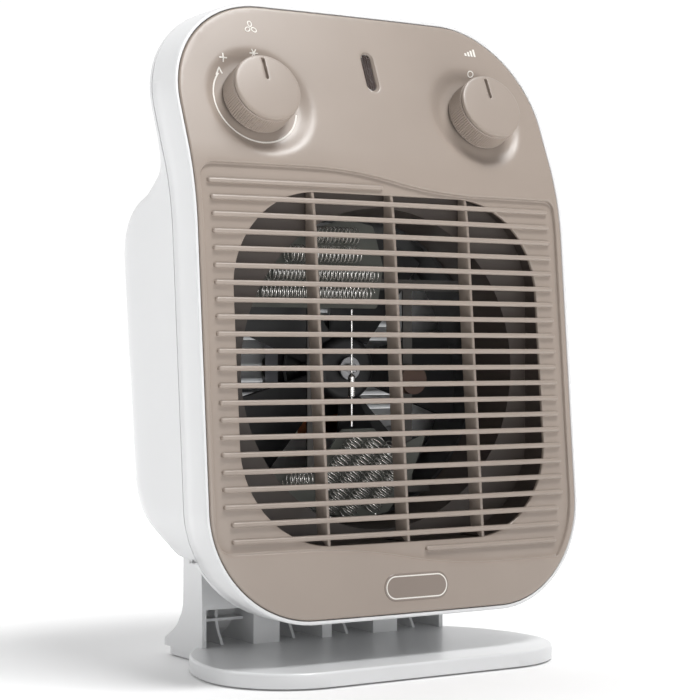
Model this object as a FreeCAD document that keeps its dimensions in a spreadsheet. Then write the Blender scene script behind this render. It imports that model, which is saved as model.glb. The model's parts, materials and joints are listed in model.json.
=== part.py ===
import FreeCAD, Part
import Sketcher
import math
import os

# Upright fan heater. Millimetres, +Z up, the front faces -Y, origin on the floor under the middle
# of the box. The front face leans back: a straight lower part, a bend, and a steeper control area.

V = FreeCAD.Vector
Placement = FreeCAD.Placement
Rotation = FreeCAD.Rotation

SIZES = {
    "centre_shift": 1.0,
    "half_w": 112.0,
    "panel_low": 31.7,
    "panel_high": 344.5,
    "corner_r": 55.0,
    "face_y_low": -54.8,
    "face_z_low": 30.0,
    "lean_low": 4.9,
    "lean_high": 22.8,
    "bend_z": 248.7,
    "bend_r": 140.0,
    "bulge": 4.0,
    "face_t": 2.2,
    "floor_t": 1.8,
    "panel_gap": 0.4,
    "ring_t": 2.0,
    "ring_depth": 24.0,
    "parting_gap": 0.3,
    "cover_depth": 32.0,
    "shell_wall": 2.5,
    "slat_half": 104.3,
    "slat_half_low": 100.5,
    "slat_pitch": 8.475,
    "slat_low_z": 71.9,
    "slat_r": 1.3,
    "bar_depth": 3.4,
    "rib_t": 1.8,
    "rib_pitch": 47.5,
    "rib_first_x": -46.0,
    "open_half": 93.5,
    "open_low": 67.5,
    "open_high": 246.0,
    "open_r": 50.0,
    "fan_z": 156.0,
    "duct_r": 84.0,
    "duct_rear_r": 81.5,
    "duct_t": 1.6,
    "shroud_r": 80.0,
    "fan_r": 76.0,
    "hub_r": 18.0,
    "motor_shaft_r": 2.5,
    "knob_x": 69.5,
    "knob_z": 292.4,
    "knob_r": 19.0,
    "knob_face_r": 18.4,
    "knob_len": 15.0,
    "dish_floor": 0.0,
    "knob_lift": 1.0,
    "spindle_r": 3.0,
    "lens_x": 3.0,
    "lens_z": 313.5,
    "badge_x": 3.0,
    "badge_z": 44.9,
    "base_t": 8.5,
    "foot_h": 1.0,
    "neck_half": 77.0,
    "coil_r": 4.2,
    "coil_pitch": 2.4,
    "wire_r": 0.35,
    "mica_t": 0.6,
}

SLATS = 21
BLADES = 5
ROOM = 400.0

doc = FreeCAD.newDocument("fan_heater")
sheet = doc.addObject("Spreadsheet::Sheet", "Sizes")
for row, (alias, value) in enumerate(SIZES.items(), start=1):
    sheet.set("A%d" % row, alias)
    sheet.set("B%d" % row, str(value))
    sheet.setAlias("B%d" % row, alias)
doc.recompute()


def size(alias):
    return float(getattr(sheet, alias))


# ---------------------------------------------------------------- the leaning, bowed front face

LOW = math.radians(size("lean_low"))
HIGH = math.radians(size("lean_high"))
BEND_Y = size("face_y_low") + math.tan(LOW) * (size("bend_z") - size("face_z_low"))
BEND_TANGENT = size("bend_r") * math.tan((HIGH - LOW) / 2)
BEND_START = (BEND_Y - BEND_TANGENT * math.sin(LOW), size("bend_z") - BEND_TANGENT * math.cos(LOW))
BEND_END = (BEND_Y + BEND_TANGENT * math.sin(HIGH), size("bend_z") + BEND_TANGENT * math.cos(HIGH))
BEND_CENTRE = (BEND_START[0] + size("bend_r") * math.cos(LOW),
               BEND_START[1] - size("bend_r") * math.sin(LOW))
BOW_R = (size("half_w") ** 2 + size("bulge") ** 2) / (2 * size("bulge"))


def face_y(z):
    """Depth of the front face's side edge at height z."""
    if z <= BEND_START[1]:
        return size("face_y_low") + math.tan(LOW) * (z - size("face_z_low"))
    if z >= BEND_END[1]:
        return BEND_END[0] + math.tan(HIGH) * (z - BEND_END[1])
    return BEND_CENTRE[0] - math.sqrt(size("bend_r") ** 2 - (z - BEND_CENTRE[1]) ** 2)


def bow(x):
    """How far the face stands forward of its side edge at x."""
    return math.sqrt(BOW_R ** 2 - x ** 2) - math.sqrt(BOW_R ** 2 - size("half_w") ** 2)


# ---------------------------------------------------------------- sketch and feature helpers

def set_size(feature, prop, value):
    """Bind a feature's size to the sheet when value is an alias or a formula of aliases."""
    if isinstance(value, str):
        feature.setExpression(prop, value)
    else:
        setattr(feature, prop, value)


def new_body(label, position=None, rotation=None):
    body = doc.addObject("PartDesign::Body", label)
    body.Label = label
    place = position or V(0, 0, 0)
    body.Placement = Placement(place + V(0, size("centre_shift"), 0), rotation or Rotation())
    return body


def origin_plane(body, role):
    for feature in body.Origin.OriginFeatures:
        if feature.Role == role:
            return feature
    raise ValueError(role)


def new_sketch(body, name, role, shift=None, turn=None):
    sketch = body.newObject("Sketcher::SketchObject", name)
    sketch.AttachmentSupport = [(origin_plane(body, role), "")]
    sketch.MapMode = "FlatFace"
    sketch.AttachmentOffset = Placement(shift or V(0, 0, 0), turn or Rotation())
    return sketch


def on_side(body, name, x=0.0):
    """Sketch seen from +X: its own axes are Y and Z."""
    return new_sketch(body, name, "YZ_Plane", V(0, 0, x))


def on_front(body, name, y=0.0):
    """Sketch seen from the front: its own axes are X and Z, and it looks towards -Y."""
    return new_sketch(body, name, "XZ_Plane", V(0, 0, -y))


def on_top(body, name, z=0.0):
    return new_sketch(body, name, "XY_Plane", V(0, 0, z))


def add_circle(sketch, x, y, radius):
    index = sketch.addGeometry(Part.Circle(V(x, y, 0), V(0, 0, 1), 1.0), False)
    value = 1.0 if isinstance(radius, str) else radius
    constraint = sketch.addConstraint(Sketcher.Constraint("Radius", index, value))
    if isinstance(radius, str):
        sketch.setExpression("Constraints[%d]" % constraint, radius)
    return index


def add_loop(sketch, points):
    """Closed polygon of straight lines."""
    for first, second in zip(points, points[1:] + points[:1]):
        sketch.addGeometry(Part.LineSegment(V(*first, 0), V(*second, 0)), False)


def rounded(points, radii):
    """Lines and arcs of a closed polygon whose corners are rounded by the given radii."""
    count = len(points)
    trimmed = []
    for index in range(count):
        before = V(*points[index - 1], 0)
        corner = V(*points[index], 0)
        after = V(*points[(index + 1) % count], 0)
        radius = radii[index]
        back = (before - corner).normalize()
        ahead = (after - corner).normalize()
        if radius <= 0:
            trimmed.append((corner, None, corner))
            continue
        half = back.getAngle(ahead) / 2
        reach = radius / math.tan(half)
        middle = (back + ahead).normalize()
        centre = corner + middle * (radius / math.sin(half))
        trimmed.append((corner + back * reach, centre - middle * radius, corner + ahead * reach))
    pieces = []
    for index in range(count):
        start, through, end = trimmed[index]
        if through is not None:
            pieces.append(Part.Arc(start, through, end))
        following = trimmed[(index + 1) % count][0]
        if end.distanceToPoint(following) > 1e-6:
            pieces.append(Part.LineSegment(end, following))
    return pieces


def add_rounded(sketch, points, radii):
    if not isinstance(radii, (list, tuple)):
        radii = [radii] * len(points)
    for piece in rounded(points, radii):
        sketch.addGeometry(piece, False)


def rectangle(x0, y0, x1, y1):
    return [(x0, y0), (x1, y0), (x1, y1), (x0, y1)]


def feature(body, kind, sketch, name):
    made = body.newObject("PartDesign::" + kind, name)
    made.Profile = sketch
    sketch.Visibility = False
    return made


def pad(body, sketch, length, reverse=False, both=False, name="Pad"):
    made = feature(body, "Pad", sketch, name)
    set_size(made, "Length", length)
    made.Reversed = reverse
    if both:
        made.SideType = "Symmetric"
    return made


def pocket(body, sketch, length=None, reverse=False, both=False, name="Pocket"):
    made = feature(body, "Pocket", sketch, name)
    if length is None:
        made.Type = "ThroughAll"
    else:
        set_size(made, "Length", length)
    made.Reversed = reverse
    if both:
        made.SideType = "Symmetric"
    return made


def turn(body, sketch, kind="Revolution", axis="H_Axis", name="Turned"):
    made = feature(body, kind, sketch, name)
    made.ReferenceAxis = (sketch, [axis])
    made.Angle = 360.0
    return made


def keep_inside(body, pieces, name="Outline"):
    """Cut away everything outside a closed outline seen from the front."""
    sketch = on_front(body, name + "Sketch")
    add_loop(sketch, rectangle(-ROOM, -ROOM, ROOM, ROOM + 100))
    for piece in pieces:
        sketch.addGeometry(piece, False)
    return pocket(body, sketch, both=True, name=name)


def front_outline(grow):
    """Rounded front outline, grown outwards from the panel's own edge."""
    half = size("half_w") + grow
    low = size("panel_low") - grow
    high = size("panel_high") + grow
    return rounded(rectangle(-half, low, half, high), [size("corner_r") + grow] * 4)


def opening_outline(grow):
    half = size("open_half") + grow
    low = size("open_low") - grow
    high = size("open_high") + grow
    return rounded(rectangle(-half, low, half, high), [size("open_r") + grow] * 4)


def slab(body, near, far, kind="AdditivePipe", name="Slab"):
    """Sweep a bowed strip, from depth near to depth far behind the face, along the face's profile."""
    start_z = size("face_z_low") - 14.0
    end_z = size("panel_high") + 20.0
    path = on_side(body, name + "Path")
    start = V(face_y(start_z), start_z, 0)
    end = V(face_y(end_z), end_z, 0)
    bend_start = V(*BEND_START, 0)
    bend_end = V(*BEND_END, 0)
    middle_angle = (LOW + HIGH) / 2
    bend_middle = V(BEND_CENTRE[0] - size("bend_r") * math.cos(middle_angle),
                    BEND_CENTRE[1] + size("bend_r") * math.sin(middle_angle), 0)
    path.addGeometry(Part.LineSegment(start, bend_start), False)
    path.addGeometry(Part.Arc(bend_start, bend_middle, bend_end), False)
    path.addGeometry(Part.LineSegment(bend_end, end), False)
    strip = on_top(body, name + "Strip", start_z)
    edge = size("half_w") + 13.0
    y0 = face_y(start_z)

    def corner(x, depth):
        return V(x, y0 - bow(x) + depth, 0)

    strip.addGeometry(Part.Arc(corner(-edge, near), corner(0, near), corner(edge, near)), False)
    strip.addGeometry(Part.LineSegment(corner(edge, near), corner(edge, far)), False)
    strip.addGeometry(Part.Arc(corner(edge, far), corner(0, far), corner(-edge, far)), False)
    strip.addGeometry(Part.LineSegment(corner(-edge, far), corner(-edge, near)), False)
    made = feature(body, kind, strip, name)
    made.Spine = (path, ["Edge1", "Edge2", "Edge3"])
    path.Visibility = False
    return made


FOOT_TURN = Rotation(V(1, 0, 0), 90.0 - size("lean_high"))


def control_body(label, x, z=None, depth=0.0):
    """Body whose own +Z points out of the control area, square to its slope, at a foot point on it."""
    height = z or size("knob_z")
    foot = V(x, face_y(height), height)
    inward = V(0, math.cos(HIGH), -math.sin(HIGH))
    return new_body(label, foot + inward * depth, FOOT_TURN)


def slanted_axis_sketch(body, name, x, z):
    """Side sketch whose own x axis is the outward line through the foot point."""
    shift = V(face_y(z), z, x)
    return new_sketch(body, name, "YZ_Plane", shift, Rotation(V(0, 0, 1), 180.0 - size("lean_high")))


BOSSES = [(-102.0, 90.0), (102.0, 90.0), (-102.0, 225.0), (102.0, 225.0)]
POSTS_LOW = [(-84.0, 52.0), (84.0, 52.0)]
POSTS_HIGH = [(-92.0, 320.0), (92.0, 320.0)]
DUCT_Y = -29.0
SCREW_R = 1.5
PILOT_R = 1.55
CLEAR_R = 1.8


# ---------------------------------------------------------------- front panel with its grille

def recess_outline():
    """Grille field: wave-shaped top and bottom borders, lower on the right than on the left."""
    left, right = -109.2, 108.6
    top_left, top_right = 259.0, 247.8
    low_left, low_right = 66.0, 54.6
    corner = 9.0
    small = 5.0
    sweep_r = size("corner_r") - 3.5
    centre = V(size("half_w") - size("corner_r"), size("panel_low") + size("corner_r"), 0)
    pieces = []

    def wave(x0, z0, x1, z1):
        """Two equal arcs from (x0, z0) level to (x1, z1) level."""
        middle = V((x0 + x1) / 2, (z0 + z1) / 2, 0)
        run = abs(x1 - x0) / 2
        rise = abs(z1 - z0) / 2
        radius = (run ** 2 + rise ** 2) / (2 * rise)
        half_angle = math.asin(run / radius) / 2
        sign = 1 if z1 > z0 else -1
        forward = 1 if x1 > x0 else -1
        first = V(x0 + forward * radius * math.sin(half_angle),
                  z0 + sign * radius * (1 - math.cos(half_angle)), 0)
        second = V(x1 - forward * radius * math.sin(half_angle),
                   z1 - sign * radius * (1 - math.cos(half_angle)), 0)
        pieces.append(Part.Arc(V(x0, z0, 0), first, middle))
        pieces.append(Part.Arc(middle, second, V(x1, z1, 0)))

    def quarter(cx, cz, radius, a0, a1):
        points = []
        for angle in (a0, (a0 + a1) / 2, a1):
            points.append(V(cx + radius * math.cos(math.radians(angle)),
                            cz + radius * math.sin(math.radians(angle)), 0))
        pieces.append(Part.Arc(*points))
        return points[0], points[2]

    drop = math.degrees(math.asin((low_right - centre.y) / sweep_r))
    start, up_left = quarter(left + corner, top_left - corner, corner, 180, 90)
    pieces.append(Part.LineSegment(up_left, V(-48, top_left, 0)))
    wave(-48, top_left, 55, top_right)
    turn_in, turn_out = quarter(right - small, top_right - small, small, 90, 0)
    pieces.append(Part.LineSegment(V(55, top_right, 0), turn_in))
    side_end, low_end = quarter(centre.x, centre.y, sweep_r, 0, drop)
    pieces.append(Part.LineSegment(turn_out, side_end))
    pieces.append(Part.LineSegment(low_end, V(56, low_right, 0)))
    wave(56, low_right, -62, low_left)
    foot_in, foot_out = quarter(left + corner, low_left + corner, corner, 270, 180)
    pieces.append(Part.LineSegment(V(-62, low_left, 0), foot_in))
    pieces.append(Part.LineSegment(foot_out, start))
    return pieces


def bar_spans():
    """(left end, right end, height) of every grille bar, from the bottom up."""
    top_z = size("slat_low_z") + SLATS * size("slat_pitch")
    low_z = size("slat_low_z") - size("slat_pitch")
    spans = [(10.8, 97.6, low_z)]
    for index in range(SLATS):
        half = size("slat_half_low") if index < 2 else size("slat_half")
        spans.append((-half, half, size("slat_low_z") + index * size("slat_pitch")))
    spans.append((-105.0, -4.2, top_z))
    return spans


def build_bars():
    """Grille bars that follow the face's bow, round at both ends and softened at the front."""
    body = new_body("grille_bars")
    slab(body, 0.3, size("bar_depth"), name="BarField")
    pieces = []
    r = size("slat_r")
    for x0, x1, z in bar_spans():
        pieces += rounded(rectangle(x0, z - r, x1, z + r), [r - 0.005] * 4)
    keep_inside(body, pieces, name="BarOutlines")
    return body


def add_ribs(body):
    """Upright ribs behind the bars, kept clear of the duct plate near the top."""
    back = 9.5
    low, high = 60.0, 252.0
    rear_limit = DUCT_Y - 0.9
    for index in range(3):
        x = size("rib_first_x") + index * size("rib_pitch")
        front = size("bar_depth") - 0.6 - bow(x)
        limit_z = size("face_z_low") + (rear_limit - back - size("face_y_low")) / math.tan(LOW)
        sketch = on_side(body, "RibProfile%d" % index, x)
        outline = [(face_y(z) + front, z) for z in (low, BEND_START[1], 238.0, high)]
        outline += [(rear_limit, high), (rear_limit, limit_z), (face_y(low + 7.0) + back, low + 7.0)]
        add_loop(sketch, outline)
        pad(body, sketch, "Sizes.rib_t", both=True, name="Rib%d" % index)


def add_bosses(body, spots, plane_y, bury=2.9):
    """Screw bosses standing on the panel's back, ending on the plane plane_y."""
    for number, (x, z) in enumerate(spots):
        skin = face_y(z) - bow(x) + bury
        sketch = on_front(body, "Boss%d_%d" % (number, int(z)), plane_y(z))
        sketch.addGeometry(Part.Circle(V(x, z, 0), V(0, 0, 1), 4.0), False)
        pad(body, sketch, plane_y(z) - skin, name="BossPad%d_%d" % (number, int(z)))
        hole = on_front(body, "Pilot%d_%d" % (number, int(z)), plane_y(z))
        hole.addGeometry(Part.Circle(V(x, z, 0), V(0, 0, 1), PILOT_R), False)
        depth = min(12.0, plane_y(z) - skin - 0.3)
        pocket(body, hole, depth, reverse=True, name="PilotCut%d_%d" % (number, int(z)))


def duct_boss_plane(z):
    return DUCT_Y - 0.3


def post_plane(z):
    return face_y(z) + 14.0


def build_front_panel():
    body = new_body("panel_moulding")
    slab(body, 0.0, size("face_t"), name="Face")
    recess = on_front(body, "RecessOutline")
    for piece in recess_outline():
        recess.addGeometry(piece, False)
    pocket(body, recess, both=True, name="Recess")
    slab(body, size("face_t") - 0.01, size("face_t") + size("floor_t"), name="Floor")
    keep_inside(body, front_outline(0.0))
    opening = on_front(body, "OpeningOutline")
    for piece in opening_outline(0.0):
        opening.addGeometry(piece, False)
    pocket(body, opening, both=True, name="Opening")
    floor = size("dish_floor")
    for side in (-1, 1):
        x = side * size("knob_x")
        tag = "Left" if side < 0 else "Right"
        dish = slanted_axis_sketch(body, tag + "DishProfile", x, size("knob_z"))
        add_loop(dish, [(floor, 0), (floor, 24.5), (floor + 4.2, 33.5), (20, 33.5), (20, 0)])
        turn(body, dish, "Groove", name=tag + "Dish")
        backing = slanted_axis_sketch(body, tag + "BackingProfile", x, size("knob_z"))
        add_loop(backing, [(-3.0, 9.0), (-3.0, 27.5), (-0.3, 27.5), (-0.3, 9.0)])
        turn(body, backing, name=tag + "Backing")
        bore = slanted_axis_sketch(body, tag + "BoreProfile", x, size("knob_z"))
        add_loop(bore, [(-8, 0), (-8, 4.6), (8, 4.6), (8, 0)])
        turn(body, bore, "Groove", name=tag + "Bore")
    lens = on_front(body, "LensSlot")
    half, reach = 5.4, 6.4
    x, z = size("lens_x"), size("lens_z")
    add_rounded(lens, rectangle(x - half, z - half - reach, x + half, z + half + reach), half - 0.01)
    pocket(body, lens, both=True, name="LensCut")
    add_ribs(body)
    add_bosses(body, BOSSES, duct_boss_plane)
    add_bosses(body, POSTS_LOW + POSTS_HIGH, post_plane)
    seat = new_sketch(body, "BadgeSeat", "XZ_Plane",
                      V(size("badge_x"), size("badge_z"), -badge_y() + 6.0),
                      Rotation(V(1, 0, 0), -size("lean_low")))
    add_rounded(seat, rectangle(-20.2, -7.4, 20.2, 7.4), 7.39)
    pocket(body, seat, 6.0 + 0.2, name="BadgeSeatCut")
    return fuse("front_panel", body, build_bars())


def badge_y():
    """Depth of the face at the badge."""
    return face_y(size("badge_z")) - bow(size("badge_x"))


def build_badge():
    body = new_body("badge_plate", V(size("badge_x"), badge_y(), size("badge_z")),
                    Rotation(V(1, 0, 0), 90.0 - size("lean_low")))
    plate = on_top(body, "Oval", -0.1)
    add_rounded(plate, rectangle(-19.8, -7.0, 19.8, 7.0), 6.99)
    pad(body, plate, 1.0, name="Plate")
    rim = on_top(body, "RimOval", 0.9)
    add_rounded(rim, rectangle(-18.6, -5.8, 18.6, 5.8), 5.79)
    pocket(body, rim, 0.35, name="Field")
    return body


def build_front_ring():
    body = new_body("front_ring")
    slab(body, 0.2, size("ring_depth"), name="Band")
    outer = size("panel_gap") + size("ring_t")
    keep_inside(body, front_outline(outer))
    inner = on_front(body, "InnerOutline")
    for piece in front_outline(size("panel_gap")):
        inner.addGeometry(piece, False)
    pocket(body, inner, both=True, name="Inside")
    return body


# ---------------------------------------------------------------- rear shell

SHELL_LOW = 62.0
HEEL = [(16.0, 63.5), (50.5, 85.0)]
REAR_FOOT = (52.2, 62.0)
REAR_SLOPE = 0.09
REAR_TOP_Z = 235.0
SHOULDER_Z = 259.0


def rear_wall_y(z):
    return REAR_FOOT[0] + REAR_SLOPE * (z - REAR_FOOT[1])


def rear_profile(inset):
    """Corners and radii of the shell's side profile, each wall moved inwards by inset."""
    wall = size("cover_depth") - inset
    bottom = SHELL_LOW + inset
    top_z = REAR_TOP_Z - inset
    shoulder = SHOULDER_Z - inset
    slope = math.atan2(HEEL[1][1] - HEEL[0][1], HEEL[1][0] - HEEL[0][0])
    shift_y = -inset * math.sin(slope)
    shift_z = inset * math.cos(slope)
    heel_low = (HEEL[0][0] + shift_y + (bottom - HEEL[0][1] - shift_z) / math.tan(slope), bottom)
    heel_high_z = HEEL[1][1]
    heel_high = (rear_wall_y(heel_high_z) - inset, heel_high_z + shift_z)
    points = [(-ROOM, 0.0), (face_y(0) + wall, 0.0), (face_y(bottom) + wall, bottom),
              heel_low, heel_high, (rear_wall_y(top_z) - inset, top_z),
              (face_y(shoulder) + wall, shoulder), (face_y(400) + wall, 400.0), (-ROOM, 400.0)]
    radii = [0, 0, 5.0 + inset, 30.0 - inset, 42.0 - inset, 30.0 - inset, 18.0 + inset, 0, 0]
    return points, radii


def keep_profile(body, inset, name="Side"):
    sketch = on_side(body, name + "Profile")
    add_loop(sketch, rectangle(-ROOM - 50, -ROOM, ROOM, ROOM + 50))
    points, radii = rear_profile(inset)
    add_rounded(sketch, points, radii)
    return pocket(body, sketch, both=True, name=name)


def keep_plan(body, inset, name="Plan"):
    """Round the upright rear corners."""
    half = size("half_w") + size("panel_gap") + size("ring_t") - inset
    rear = rear_wall_y(REAR_TOP_Z) + 1.0 - inset
    sketch = on_top(body, name + "Outline")
    add_loop(sketch, rectangle(-ROOM, -ROOM, ROOM, ROOM))
    radius = 30.0 - inset
    add_rounded(sketch, rectangle(-half - 1, -200, half + 1, rear), [0, 0, radius, radius])
    return pocket(body, sketch, both=True, name=name)


def shell_solid(label, inset):
    body = new_body(label)
    block = on_front(body, "BlockOutline", -62.0)
    grow = size("panel_gap") + size("ring_t") - inset
    for piece in front_outline(grow):
        block.addGeometry(piece, False)
    pad(body, block, 150.0, reverse=True, name="Block")
    near = size("ring_depth") + size("parting_gap")
    if inset > 0:
        near = -30.0
    slab(body, near - 90.0, near, kind="SubtractivePipe", name="FrontCut")
    keep_profile(body, inset)
    keep_plan(body, inset)
    return body


def build_rear_shell():
    outer = shell_solid("rear_outer", 0.0)
    doc.recompute()
    inner = shell_solid("rear_inner", size("shell_wall"))
    hollow = cut("rear_hollow", outer, inner)
    posts = build_posts()
    joined = fuse("rear_joined", hollow, posts)
    tools = build_shell_cuts()
    return cut("rear_shell", joined, tools)


def build_posts():
    """Screw posts inside the shell that meet the panel's bosses, and the motor's stand-offs."""
    body = new_body("rear_posts")
    for x, z in POSTS_LOW + POSTS_HIGH:
        start = post_plane(z) + 0.3
        wall = face_y(z) + size("cover_depth") - 1.0
        sketch = on_front(body, "Post%d_%d" % (int(x), int(z)), wall)
        sketch.addGeometry(Part.Circle(V(x, z, 0), V(0, 0, 1), 5.0), False)
        pad(body, sketch, wall - start, name="PostPad%d_%d" % (int(x), int(z)))
    for x, z in SHROUD_LUGS:
        wall = rear_inner_y(z) + 1.0
        sketch = on_front(body, "Stand%d_%d" % (int(x), int(z)), wall)
        sketch.addGeometry(Part.Circle(V(x, z, 0), V(0, 0, 1), 4.5), False)
        pad(body, sketch, wall - (SHROUD_BACK + 0.3), name="StandPad%d_%d" % (int(x), int(z)))
    for x, y in NECK_SCREWS:
        sketch = on_top(body, "NeckBoss%d" % int(x), SHELL_LOW)
        add_circle_at(sketch, x, y, 4.0)
        pad(body, sketch, 98.0 - SHELL_LOW, name="NeckBossPad%d" % int(x))
    keep_profile(body, 0.6, "Trim")
    return body


SHROUD_LUGS = [(-74.0, 106.0), (74.0, 106.0), (-74.0, 206.0), (74.0, 206.0)]
SHROUD_BACK = 30.0
NECK_SCREWS = [(-38.0, 39.0), (38.0, 39.0)]
STAND_HEAD_Z = 64.0
CORD_SPOT = (58.0, 115.0)


def rear_inner_y(z):
    return rear_wall_y(z) - size("shell_wall")


def build_shell_cuts():
    """Air intake slots, screw wells and holes, and the cord inlet."""
    body = new_body("rear_cuts")
    half_h = 1.25
    rear = 80.0
    reach = 32.0
    rise = rear - rear_wall_y(150.0)
    slots = on_front(body, "IntakeSlots", rear)
    columns = [(-66.0, -24.0), (-21.0, 21.0), (24.0, 66.0)]
    for row in range(11):
        z = 130.0 + row * 8.0 - rise
        for x0, x1 in columns:
            add_rounded(slots, rectangle(x0, z - half_h, x1, z + half_h), half_h - 0.01)
    louvres = pad(body, slots, reach, name="Slots")
    louvres.UseCustomVector = True
    louvres.Direction = V(0, -1, 1)
    for x, z in POSTS_LOW + POSTS_HIGH:
        start = post_plane(z)
        wall = face_y(z) + size("cover_depth") + 8.0
        well = on_front(body, "Well%d_%d" % (int(x), int(z)), wall)
        well.addGeometry(Part.Circle(V(x, z, 0), V(0, 0, 1), 3.3), False)
        pad(body, well, wall - start - 3.4, name="WellPad%d_%d" % (int(x), int(z)))
        hole = on_front(body, "Hole%d_%d" % (int(x), int(z)), wall)
        hole.addGeometry(Part.Circle(V(x, z, 0), V(0, 0, 1), CLEAR_R), False)
        pad(body, hole, wall - start + 3.0, name="HolePad%d_%d" % (int(x), int(z)))
    for x, z in SHROUD_LUGS:
        hole = on_front(body, "Stud%d_%d" % (int(x), int(z)), SHROUD_BACK + 14.0)
        hole.addGeometry(Part.Circle(V(x, z, 0), V(0, 0, 1), PILOT_R), False)
        pad(body, hole, 16.0, name="StudPad%d_%d" % (int(x), int(z)))
    for x, y in NECK_SCREWS:
        hole = on_top(body, "Neck%d" % int(x), 60.0)
        hole.addGeometry(Part.Circle(V(x, y, 0), V(0, 0, 1), PILOT_R), False)
        pad(body, hole, 34.0, name="NeckPad%d" % int(x))
    inlet = on_front(body, "InletHole", 80.0)
    inlet.addGeometry(Part.Circle(V(*CORD_SPOT, 0), V(0, 0, 1), 6.0), False)
    pad(body, inlet, 32.0, name="InletPad")
    return body


def cut(label, base, tool):
    made = doc.addObject("Part::Cut", label)
    made.Label = label
    made.Base = base
    made.Tool = tool
    return made


def fuse(label, first, second):
    made = doc.addObject("Part::MultiFuse", label)
    made.Label = label
    made.Shapes = [first, second]
    return made


def build_cord_inlet():
    """Bush in the shell's back where the supply cord would enter."""
    x, z = CORD_SPOT
    wall = rear_inner_y(z) + size("shell_wall")
    body = new_body("cord_inlet", V(x, wall, z))
    section = on_side(body, "Section")
    add_loop(section, [(-7, 3.6), (-7, 7.4), (-4.2, 7.4), (-4.2, 5.7), (1.6, 5.7), (1.6, 8.5),
                       (3.4, 8.0), (6.8, 5.4), (6.8, 3.6)])
    turn(body, section, name="Bush")
    return body


# ---------------------------------------------------------------- base: foot plate and hollow neck

def plate_outline():
    """Foot plate: straight front, broad rounded corners, sides drawing in towards the neck."""
    half = size("neck_half")
    front, rear = -72.0, 70.0
    corner_r, corner_x = 44.0, 57.4
    corner_y = front + corner_r
    side_x = corner_x + corner_r
    join_y = 33.0
    inward = side_x - half
    side_r = (inward ** 2 + (join_y - corner_y) ** 2) / (2 * inward)
    half_turn = math.asin((join_y - corner_y) / side_r) / 2
    rear_r = 9.0

    def mirrored(points, sign):
        return [V(sign * x, y, 0) for x, y in points]

    pieces = [Part.LineSegment(V(-corner_x, front, 0), V(corner_x, front, 0)),
              Part.LineSegment(V(rear_r - half, rear, 0), V(half - rear_r, rear, 0))]
    diagonal = math.sqrt(0.5)
    for sign in (-1, 1):
        pieces.append(Part.Arc(*mirrored([(corner_x, front),
                                          (corner_x + corner_r * diagonal, corner_y - corner_r * diagonal),
                                          (side_x, corner_y)], sign)))
        pieces.append(Part.Arc(*mirrored([(side_x, corner_y),
                                          (side_x - side_r * (1 - math.cos(half_turn)),
                                           corner_y + side_r * math.sin(half_turn)),
                                          (half, join_y)], sign)))
        pieces.append(Part.LineSegment(*mirrored([(half, join_y), (half, rear - rear_r)], sign)))
        pieces.append(Part.Arc(*mirrored([(half, rear - rear_r),
                                          (half - rear_r * (1 - diagonal), rear - rear_r * (1 - diagonal)),
                                          (half - rear_r, rear)], sign)))
    return pieces


def neck_section(inset):
    """Side profile of the neck: an upright wall that sweeps back into a heel."""
    if inset == 0:
        points = [(26, 5.0), (26, 31.0), (28.5, 84.0), (48, 84.0), (48, 27.0), (56, 17.0),
                  (70, 9.0), (70, 5.0)]
        radii = [0, 2, 0, 0, 14, 16, 1.5, 0]
    else:
        points = [(18, 8.5), (18, 28.5), (31, 28.5), (32, 60.0), (45.5, 60.0), (45.5, 26.0),
                  (54.0, 14.6), (65.0, 8.5)]
        radii = [0, 0, 1, 1, 1, 12, 14, 0]
    return points, radii


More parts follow.
